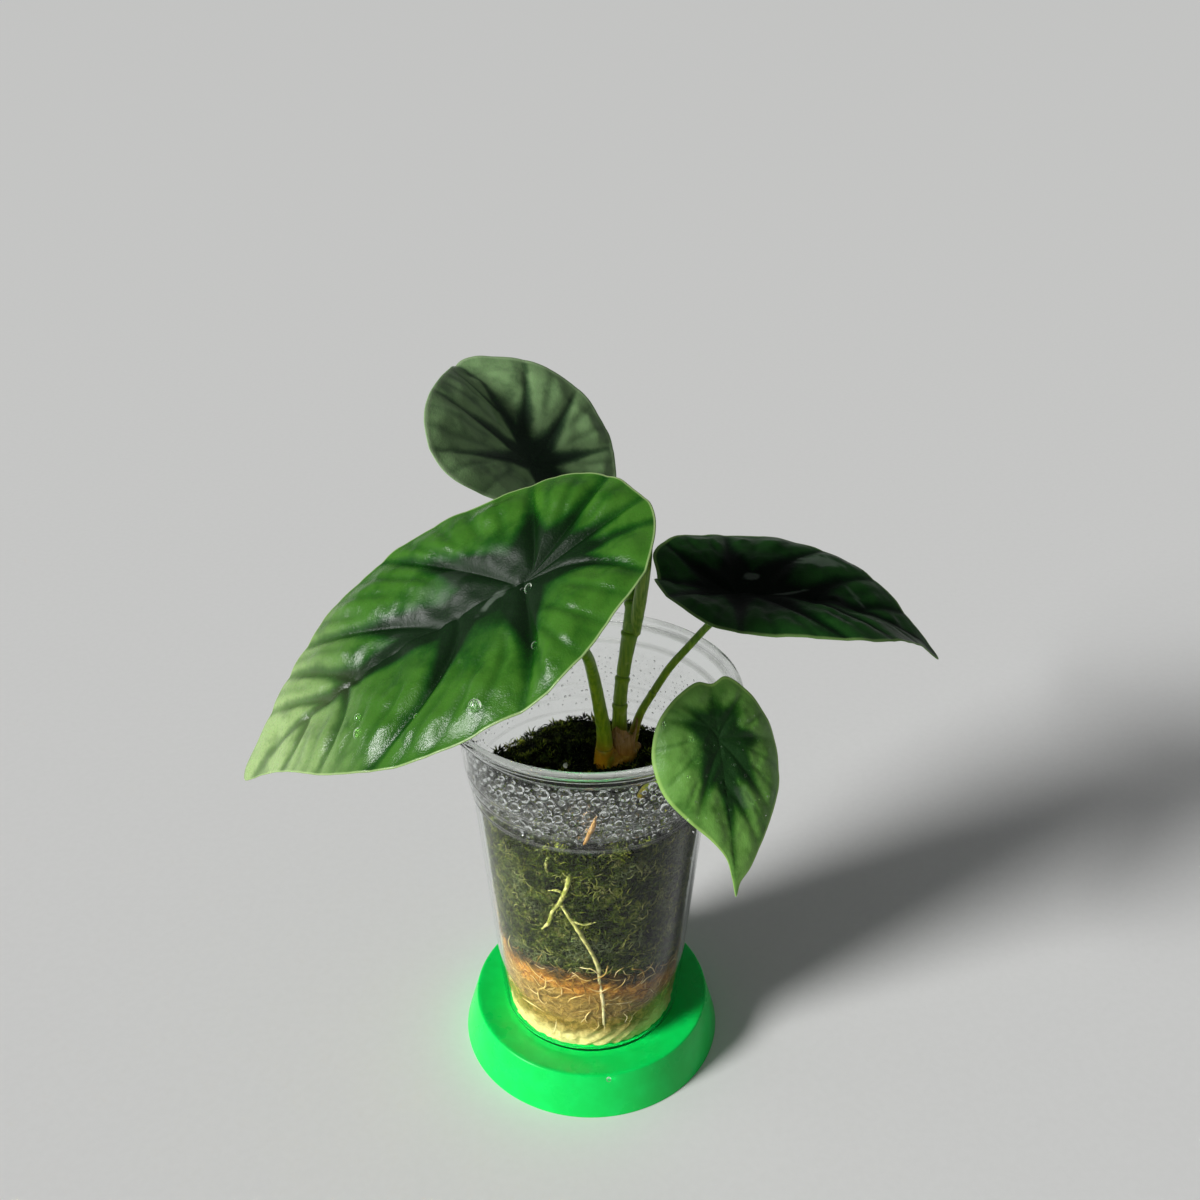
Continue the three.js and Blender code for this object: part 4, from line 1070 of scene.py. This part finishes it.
def sprig_head(leaflets, seed):
    """A sphagnum head: short pointed leaflets standing out of one point, half a unit high."""
    random = np.random.default_rng(seed)
    points, faces = [], []
    for i in range(leaflets):
        turn = 2 * math.pi * i * 0.381966 + random.uniform(-0.2, 0.2)
        rise = math.radians(random.uniform(5, 75))
        length = random.uniform(0.38, 0.62)
        ahead = np.array([math.cos(turn) * math.cos(rise), math.sin(turn) * math.cos(rise), math.sin(rise)])
        aside = np.array([-math.sin(turn), math.cos(turn), 0]) * random.uniform(0.05, 0.09)
        up = np.cross(ahead, aside)
        start = len(points)
        points += [ahead * 0.04, ahead * 0.45 * length + aside + up * 0.4, ahead * length,
                   ahead * 0.45 * length - aside + up * 0.4, ahead * 0.5 * length - up * 0.6]
        leaflet = ((0, 1, 4), (1, 2, 4), (2, 3, 4), (3, 0, 4), (0, 3, 1), (1, 3, 2))
        faces += [tuple(start + corner for corner in face) for face in leaflet]
    return points, faces


def crumb(seed):
    """An uneven lump half a unit across."""
    rows, columns = 4, 6
    points = [(0, 0, -0.25)]
    for i in range(1, rows):
        polar = math.pi * i / rows
        points += ring_points(math.sin(polar) / 4, -math.cos(polar) / 4, columns)
    points.append((0, 0, 0.25))
    points = np.array(points)
    points *= 1 + 0.45 * undulation(points, 0.5, seed)[:, None]
    faces = [(0, 1 + (k + 1) % columns, 1 + k) for k in range(columns)]
    faces += grid_faces(rows - 1, columns, start=1)
    top, ring = len(points) - 1, 1 + (rows - 2) * columns
    faces += [(ring + k, ring + (k + 1) % columns, top) for k in range(columns)]
    return points, faces


def grain_piece(material):
    """One white mineral grain that lies on the moss beside the crown."""
    points, faces = crumb(90)
    piece = add_mesh("white_grain", points * 2 * GRAIN_ACROSS + GRAIN_PLACE, faces)
    point_outwards(piece)
    finish_piece(piece, [], [material])


def water_drop(flatness, rows, columns):
    """A drop one unit across that clings to a surface, with its flat side just under it."""
    points = []
    for i in range(rows + 1):
        polar = math.pi / 2 * i / (rows + 0.35)
        points += ring_points(0.5 * math.cos(polar), 0.5 * flatness * math.sin(polar) - 0.03, columns)
    return points, grid_faces(rows + 1, columns) + end_faces(rows + 1, columns)


def sprig_collection(name, shapes):
    """Small pieces to scatter, kept in a collection that isn't part of the scene; sizes are in units."""
    collection = bpy.data.collections.new(name)
    for i, (points, faces) in enumerate(shapes):
        mesh = bpy.data.meshes.new(f"{name}_{i}")
        mesh.from_pydata([tuple(point) for point in points], [], faces)
        mesh.shade_smooth()
        collection.objects.link(bpy.data.objects.new(f"{name}_{i}", mesh))
    return collection


def scatter(name, tree, host, sprigs, spacing, smallest, largest, lean, seed, finish):
    """Covers a host as thickly as the spacing lets it; sizes in millimetres."""
    most_per_square_metre = 4e6
    values = {"Sprigs": sprigs, "Spacing": spacing * MM, "Density": most_per_square_metre,
              "Smallest": smallest * MM, "Largest": largest * MM,
              "Lean": lean, "Seed": seed, "Finish": finish}
    return plain_result(host, tree, values, name)


# Cup, moss and saucer

def cup_wall_radius(z):
    z = np.asarray(z, float)
    ribs_below = sum((z >= rib) * 1.0 for rib in STACKING_RIBS_Z)
    return CUP_FOOT_R + (z - CUP_FOOT_Z) * CUP_WALL_SLOPE + ribs_below * RIB_STEP


def cup_piece(material):
    wall_foot = CUP_FOOT_Z + 2.6
    outer = [(0, CUP_FOOT_Z), (CUP_FLOOR_R, CUP_FOOT_Z), (CUP_FLOOR_R + 1.6, CUP_FOOT_Z + 0.7),
             (float(cup_wall_radius(wall_foot)), wall_foot)]
    for rib in STACKING_RIBS_Z:
        outer += [(float(cup_wall_radius(z)), z) for z in (rib - RIB_RISE, rib)]
    outer += [(float(cup_wall_radius(CUP_LEDGE_Z)), CUP_LEDGE_Z), (CUP_LEDGE_R, CUP_LEDGE_Z + 1.1),
              (CUP_NECK_R, CUP_LIP_Z - 1.1), (CUP_NECK_R + 1.3, CUP_LIP_Z)]
    lip = [(CUP_RIM_R - 0.6, CUP_LIP_Z), (CUP_RIM_R, CUP_LIP_Z + 0.8), (CUP_RIM_R, CUP_RIM_Z - 0.8),
           (CUP_RIM_R - 0.7, CUP_RIM_Z), (CUP_RIM_R - CUP_LIP_WIDTH, CUP_RIM_Z)]
    inner = []
    for radius, z in outer[::-1]:
        rise = CUP_WALL if z < wall_foot + 1 else 0.2
        inner.append((max(radius - CUP_WALL, 0), z + rise))
    piece = turned("cup_wall", rounded([*outer, *lip, *inner], 0.45, 4), 180)
    finish_piece(piece, ["cup"], [material])


def saucer_piece(material):
    under = SAUCER_SEAT_Z - SAUCER_WALL
    profile = [
        (0, SAUCER_SEAT_Z), (CUP_FOOT_R + 0.6, SAUCER_SEAT_Z), (SAUCER_SEAT_R + 0.8, SAUCER_TOP_Z),
        (SAUCER_TOP_R, SAUCER_TOP_Z), (SAUCER_BASE_R, 0.2), (SAUCER_BASE_R - 0.2, 0),
        (SAUCER_BASE_R - SAUCER_WALL, 0), (SAUCER_TOP_R - SAUCER_WALL, under - 0.6), (0, under - 0.6),
    ]
    piece = turned("saucer_shell", rounded(profile, 0.7, 5), 180)
    finish_piece(piece, ["saucer"], [material])


def moss_radius(z):
    at_wall = cup_wall_radius(z) - CUP_WALL - 0.4
    at_foot = MOSS_FOOT_R + (z - CUP_FOOT_Z - CUP_WALL) * MOSS_FOOT_SLOPE
    return np.minimum(at_wall, at_foot)


def base_moss_top(angle):
    return BASE_MOSS_TOP_Z + 5 * np.cos(angle + 2.7) + 1.5 * np.sin(3 * angle)


def moss_surface(name, bottom_at, top_at, rows, top_rings, inset, lumps, seed):
    """A column of moss: a lumpy side against the wall, and a lumpy top."""
    columns = 160
    angle = np.linspace(0, 2 * math.pi, columns, endpoint=False)
    lowest = np.full(columns, bottom_at(0 * angle).mean())
    rings = [np.stack([np.zeros(columns), np.zeros(columns), lowest], -1)]
    for row in range(rows + 1):
        z = bottom_at(angle) + (top_at(angle, 1.0) - bottom_at(angle)) * row / rows
        radius = moss_radius(z) - inset
        rings.append(round_axis(angle, radius, z))
    for ring in range(top_rings - 1, 0, -1):
        share = ring / top_rings
        z = top_at(angle, share)
        radius = (moss_radius(z) - inset) * share
        rings.append(round_axis(angle, radius, z))
    points = np.vstack(rings)
    inwards = np.zeros_like(points)
    side = np.hypot(points[:, 0], points[:, 1])
    inwards[:, :2] = -points[:, :2] / np.maximum(side, 1e-6)[:, None]
    rough = 0.5 + 0.5 * undulation(points, 4.0, seed) + 0.25 * undulation(points, 1.8, seed + 1)
    is_side = np.arange(len(points)) < (rows + 2) * columns
    points += inwards * (np.clip(rough, 0, 1.4) * lumps * is_side)[:, None]
    bumps = undulation(points, 6.0, seed + 2) + undulation(points, 2.6, seed + 3) * 0.5
    points[:, 2] += np.where(is_side, 0, bumps)
    faces = grid_faces(len(rings), columns)
    faces.append(tuple((len(rings) - 1) * columns + k for k in range(columns)))
    piece = add_mesh(name, points, faces)
    point_outwards(piece)
    add_attribute(piece, "below_top", top_at(np.arctan2(points[:, 1], points[:, 0]), 1.0) - points[:, 2])
    return piece


def moss_top(angle, share):
    tufts = 1.8 * np.sin(5 * angle + 9 * share) * np.sin(7 * share + 2 * angle)
    return MOSS_TOP_Z + share * (tufts - 1.5)


def level(z):
    """A height that is the same all round, for a band or a column of moss."""
    return lambda angle: z + 0 * angle


def over_pale_moss(rise):
    """A height a little over the pale moss all round."""
    return lambda angle: base_moss_top(angle) + rise


def full_cover(points):
    return np.ones(len(points))


def wall_band(name, low, high, inset, cover, start=0.0, sweep=2 * math.pi, rows=12, inwards=False):
    """A band along the wall to scatter small pieces on, with how thickly they cover each point."""
    columns = 96
    angle = np.linspace(start, start + sweep, columns)
    points = []
    for row in range(rows + 1):
        z = low(angle) + (high(angle) - low(angle)) * row / rows
        radius = moss_radius(z) - inset
        points.append(round_axis(angle, radius, z))
    points = np.vstack(points)
    faces = grid_faces(rows + 1, columns, closed=False)
    band = add_mesh(name, points, [face[::-1] for face in faces] if inwards else faces)
    add_attribute(band, "cover", cover(points))
    return band


def wet_band(name, bottom_z, top_z, start_deg, sweep_deg, thickness):
    """The part of the wall's inside that water clings to, with the beads' flat sides against the wall."""
    return wall_band(name, level(bottom_z), level(top_z), 0.05,
                     lambda points: thickness * smooth_step(points[:, 2], bottom_z - 1, bottom_z + 5),
                     math.radians(start_deg), math.radians(sweep_deg), rows=30, inwards=True)


def top_patch(name, cover):
    """The moss's top surface to scatter tufts on."""
    rings, columns = 24, 72
    points = []
    for ring in range(1, rings + 1):
        share = ring / rings
        angle = np.linspace(0, 2 * math.pi, columns, endpoint=False)
        z = moss_top(angle, share)
        radius = (moss_radius(z) - 0.8) * share
        points.append(round_axis(angle, radius, z))
    points = np.vstack(points)
    faces = [face[::-1] for face in grid_faces(rings, columns)]
    patch = add_mesh(name, points, faces)
    add_attribute(patch, "cover", cover(points))
    return patch


# Crown, dried sheath and water

def crown_piece(material):
    """The swollen crown with ring scars, long along its heading."""
    rows, columns = 36, 60
    points = []
    for row in range(rows + 1):
        polar = math.pi * (row + 0.5) / (rows + 1)
        points += ring_points(math.sin(polar), -math.cos(polar), columns)
    points = np.array(points)
    ring_scars = 0.035 * np.sin(points[:, 2] * 15 + 1.5 * undulation(points, 1.4, 31))
    points *= (1 + ring_scars + 0.05 * undulation(points, 0.7, 32))[:, None]
    points *= CROWN_HALF_SIZES
    cos, sin = math.cos(CROWN_HEADING), math.sin(CROWN_HEADING)
    x, y, z = points.T
    points = np.stack([x * cos - y * sin, x * sin + y * cos, z], -1)
    points += CROWN_CENTRE
    faces = grid_faces(rows + 1, columns) + end_faces(rows + 1, columns)
    piece = add_mesh("crown_scarred", points, faces)
    point_outwards(piece)
    finish_piece(piece, ["crown"], [material])


def dried_sheath_piece(material):
    """Papery remains of an old stalk base: a thin torn wrap that opens a little towards its top."""
    rows, columns = 40, 70
    start, sweep = math.radians(-172), math.radians(184)
    centre_x, centre_y, foot_radius = 10.4, 13.7, 4.1
    bottom_z, top_z, tear, thickness = 104, 117.5, 1.5, 0.25
    skins = []
    for inside in (0, thickness):
        for row in range(rows + 1):
            share = row / rows
            angle = start + sweep * np.linspace(0, 1, columns)
            torn = np.sin(angle * 3.1 + 1) + 0.35 * np.sin(angle * 9 + 1) + 0.12 * np.sin(angle * 31)
            ragged = tear * torn
            z = bottom_z + (top_z + ragged - bottom_z) * share
            folds = 0.14 * np.sin(angle * 9 + 2 * share) + 0.05 * np.sin(angle * 23 - 3 * share)
            radius = foot_radius + 0.9 * share ** 2 + folds * (0.4 + share) - inside
            x, y = centre_x + radius * np.cos(angle), centre_y + radius * np.sin(angle)
            skins.append(np.stack([x, y, z], -1))
    size = (rows + 1) * columns
    points = np.vstack(skins)
    faces = grid_faces(rows + 1, columns, closed=False)
    faces += [tuple(size + i for i in reversed(face)) for face in grid_faces(rows + 1, columns, closed=False)]
    for k in range(columns - 1):
        faces.append((k + 1, k, size + k, size + k + 1))
        top = rows * columns
        faces.append((top + k, top + k + 1, size + top + k + 1, size + top + k))
    for row in range(rows):
        a, b = row * columns, (row + 1) * columns
        faces.append((a, b, size + b, size + a))
        a, b = a + columns - 1, b + columns - 1
        faces.append((b, a, size + a, size + b))
    piece = add_mesh("dried_sheath_wrap", points, faces)
    point_outwards(piece)
    finish_piece(piece, ["dried_sheath"], [material])


def blade_place(name, s, v):
    """The point of a blade's upper face at s, v, with the direction that the face looks in."""
    blade = BLADES[name]
    step = 0.4
    flat = np.array([[s, v], [s + step, v], [s, v + step]])
    margin = smooth_curve(blade["outline"], 8, closed=True)
    turn = np.arctan2(margin[:, 1], margin[:, 0])
    order = np.argsort(turn)
    far = np.hypot(*margin.T)[order]
    reach = np.interp(np.arctan2(flat[:, 1], flat[:, 0]), turn[order], far, period=2 * math.pi)
    lift, _, _ = blade_relief(blade, flat[:, 0], flat[:, 1], np.hypot(*flat.T) / reach)
    points = on_blade(blade, flat[:, 0], flat[:, 1], lift + BLADE_THICKNESS / 2)
    normal = np.cross(points[1] - points[0], points[2] - points[0])
    return points[0], normal / np.linalg.norm(normal)


def water_piece(material):
    """Drops that lie on the blades, fine ones on the small blade, and one on the saucer's rim."""
    points, faces = [], []
    places = [(*blade_place(name, s, v), radius) for name, s, v, radius in DROPS_ON_BLADES]
    random = np.random.default_rng(41)
    for _ in range(FINE_DROPS):
        s, v = random.uniform(-10, 24), random.uniform(-13, 13)
        places.append((*blade_place("blade_small", s, v), 0.22 + 0.30 * random.random() ** 2))
    centre, normal, radius = DROP_ON_SAUCER
    places.append((np.array(centre), np.array(normal), radius))
    for centre, normal, radius in places:
        across = np.cross(normal, [0.3, 0.1, 1])
        across /= np.linalg.norm(across)
        beside = np.cross(normal, across)
        shape, drop_faces = water_drop(0.62, 6, 18)
        start = len(points)
        for x, y, z in shape:
            points.append(centre + 2 * radius * (x * across + y * beside + z * normal))
        faces += [tuple(start + i for i in face) for face in drop_faces]
    piece = add_mesh("water_drops", points, faces)
    point_outwards(piece)
    finish_piece(piece, [], [material])


# Making the pieces

under_deep = leaf_under("leaf_deep_under", (0.07, 0.18, 0.03), (0.12, 0.26, 0.06))
under_dull = leaf_under("leaf_dull_under", (0.09, 0.16, 0.07), (0.13, 0.22, 0.10))
blade_piece("blade_front", under_deep, 84, 14)
blade_piece("blade_back", under_dull, 48, 10)
blade_piece("blade_right", under_deep, 48, 10)
blade_piece("blade_small", under_deep, 40, 9)

fleshy_path = path_tree()
flesh = stalk_material()
for name, stem, blade_name, creases, depth, per_span, sides in (
        ("stalk_front", STEM_FRONT, "blade_front", [112], 0.12, 40, 28),
        ("stalk_back", STEM_BACK, "blade_back", [125, 134.5, 150.5, 161], 0.32, 40, 28),
        ("stalk_right", STEM_RIGHT, "blade_right", [111, 127], 0.12, 40, 22),
        ("stalk_small", STEM_SMALL, "blade_small", [], 0, 24, 20)):
    path = creased(reach_blade(stem, BLADES[blade_name]), creases, depth, per_span)
    stalk = along_paths(name + "_fleshy", [path], fleshy_path, sides, 0.25, 3.0, flesh, 2)
    finish_piece(stalk, [name])
new_leaf = along_paths("new_leaf_rolled", [NEW_LEAF], fleshy_path, 20, 0.2, 2.0, new_leaf_material(), 16)
finish_piece(new_leaf, ["new_leaf"])
root_strands = along_paths("roots_fleshy", ROOTS, fleshy_path, 14, 0.55, 1.8, root_material(), 16)
finish_piece(root_strands, ["roots"])
crown_piece(crown_material())
dry_paper = dry_sheath_material()
dried_sheath_piece(dry_paper)
dried_bit = along_paths("dried_bit", [DRIED_BIT], fleshy_path, 10, 0.5, 1.2, dry_paper, 10)
finish_piece(dried_bit, ["dried_sheath"])

# Moss
moss_body = moss_surface("moss_body", over_pale_moss(0.3), moss_top, 46, 22, MOSS_INSET, 1.6, 51)
finish_piece(moss_body, ["moss"], [moss_body_material()])
base_moss = moss_surface("base_moss_body", level(CUP_FOOT_Z + CUP_WALL + 0.3),
                         lambda angle, share: base_moss_top(angle), 34, 6, 0.35, 0.8, 61)
finish_piece(base_moss, ["base_moss"], [base_moss_material()])

scatter_over = scatter_tree()
strands = sprig_collection("strands", [
    strand(0.05 + 0.06 * i, 0.035 + 0.01 * i, 70 + i, 4) for i in range(4)])
heads = sprig_collection("sprig_heads", [sprig_head(13, 80 + i) for i in range(3)])
thin_heads = sprig_collection("thin_sprig_heads", [sprig_head(10, 80 + i) for i in range(3)])
moss_greens = moss_sprig_material("moss_strands_damp", [
    (0.0, (0.003, 0.005, 0.001)), (0.25, (0.012, 0.022, 0.002)), (0.55, (0.065, 0.100, 0.006)),
    (0.8, (0.16, 0.18, 0.018)), (1.0, (0.29, 0.29, 0.09)),
], 0.75)
tuft_greens = moss_sprig_material("moss_tufts_damp", [
    (0.0, (0.003, 0.004, 0.001)), (0.45, (0.012, 0.017, 0.002)), (0.8, (0.06, 0.085, 0.006)),
    (1.0, (0.22, 0.26, 0.03)),
], 0.0)
side = wall_band("moss_side", over_pale_moss(1), level(104), 0.7, full_cover)
wall_strands = scatter("moss_wall_strands", scatter_over, side, strands, 1.0, 1.0, 3.6, 0.10, 71, moss_greens)
finish_piece(wall_strands, ["moss"])
side_behind = wall_band("moss_side_behind", over_pale_moss(1), level(104), 1.5, full_cover)
wall_heads = scatter("moss_wall_heads", scatter_over, side_behind, thin_heads, 1.6, 1.6, 3.2, 0.6, 75,
                     moss_greens)
finish_piece(wall_heads, ["moss"])
base_side = wall_band("base_side", level(22), over_pale_moss(3), 0.5,
                      lambda points: smooth_step(points[:, 2], 20, 36))
fibres = sprig_collection("fibres", [strand(0.03 + 0.05 * i, 0.016 + 0.007 * i, 100 + i) for i in range(4)])
tan_strands = moss_sprig_material("base_strands_damp", [
    (0.0, (0.15, 0.075, 0.008)), (0.35, (0.30, 0.175, 0.03)), (0.65, (0.52, 0.38, 0.13)),
    (1.0, (0.74, 0.62, 0.33)),
], 0.0)
base_strands = scatter("base_wall_strands", scatter_over, base_side, fibres, 2.6, 2.5, 9.0, 0.06, 76,
                       tan_strands)
finish_piece(base_strands, ["base_moss"])
moss_top_surface = top_patch("moss_top_patch", full_cover)
tufts = scatter("moss_tufts", scatter_over, moss_top_surface, heads, 1.5, 2.5, 7.0, 0.5, 72, tuft_greens)
finish_piece(tufts, ["moss"])
grain_piece(grain_material())

# Cup, condensation and saucer
cup_piece(cup_material())
water = water_material("water_beads_clear", 0.0)
beads = sprig_collection("beads", [water_drop(0.6 + 0.2 * i, 4, 14) for i in range(2)])
for name, bottom_z, top_z, start_deg, sweep_deg, thickness, spacing, smallest, largest, seed in CONDENSATION:
    band = wet_band(name + "_band", bottom_z, top_z, start_deg, sweep_deg, thickness)
    drops = scatter(name, scatter_over, band, beads, spacing, smallest, largest, 0.0, seed, water)
    finish_piece(drops, [])
saucer_piece(saucer_material())
# The drops on the blades and the saucer get a pale edge painted on as a highlight.
water_piece(water_material("water_drops_clear", 0.5))

# Floor, light and camera
floor_disc = add_mesh("floor", [(0, 0, 0), *ring_points(FLOOR_R, 0, FLOOR_SIDES)],
                      [(0, 1 + k, 1 + (k + 1) % FLOOR_SIDES) for k in range(FLOOR_SIDES)])
floor_disc.data.materials.append(floor_material())

lamp = bpy.data.lights.new("key_softbox", "SUN")
lamp.energy = KEY_LIGHT_STRENGTH
lamp.angle = math.radians(KEY_LIGHT_SPREAD)
key_light = bpy.data.objects.new("key_softbox", lamp)
bpy.context.scene.collection.objects.link(key_light)
key_light.location = KEY_LIGHT_FROM
key_light.rotation_euler = key_light.location.to_track_quat("Z", "Y").to_euler()

world = bpy.data.worlds.new("pale_room")
world.use_nodes = True
room = Recipe(world.node_tree)
backdrop = world.node_tree.nodes["Background"]
backdrop.inputs["Color"].default_value = (*ROOM_COLOUR, 1)
seen = room.add("ShaderNodeLightPath").outputs["Is Camera Ray"]
world.node_tree.links.new(room.span(seen, 0.0, 1.0, ROOM_LIGHT, ROOM_SEEN), backdrop.inputs["Strength"])
bpy.context.scene.world = world

lens = bpy.data.cameras.new("photo_view")
lens.lens = CAMERA_LENS
lens.sensor_width = CAMERA_SENSOR
photo_view = bpy.data.objects.new("photo_view", lens)
bpy.context.scene.collection.objects.link(photo_view)
photo_view.location = (CUP_AXIS[0] * MM + CAMERA_PLACE[0], CUP_AXIS[1] * MM + CAMERA_PLACE[1],
                       CAMERA_PLACE[2])
photo_view.rotation_euler = (math.radians(CAMERA_TILT), 0, math.radians(CAMERA_TURN))
bpy.context.scene.camera = photo_view
bpy.context.scene.view_settings.view_transform = "Standard"
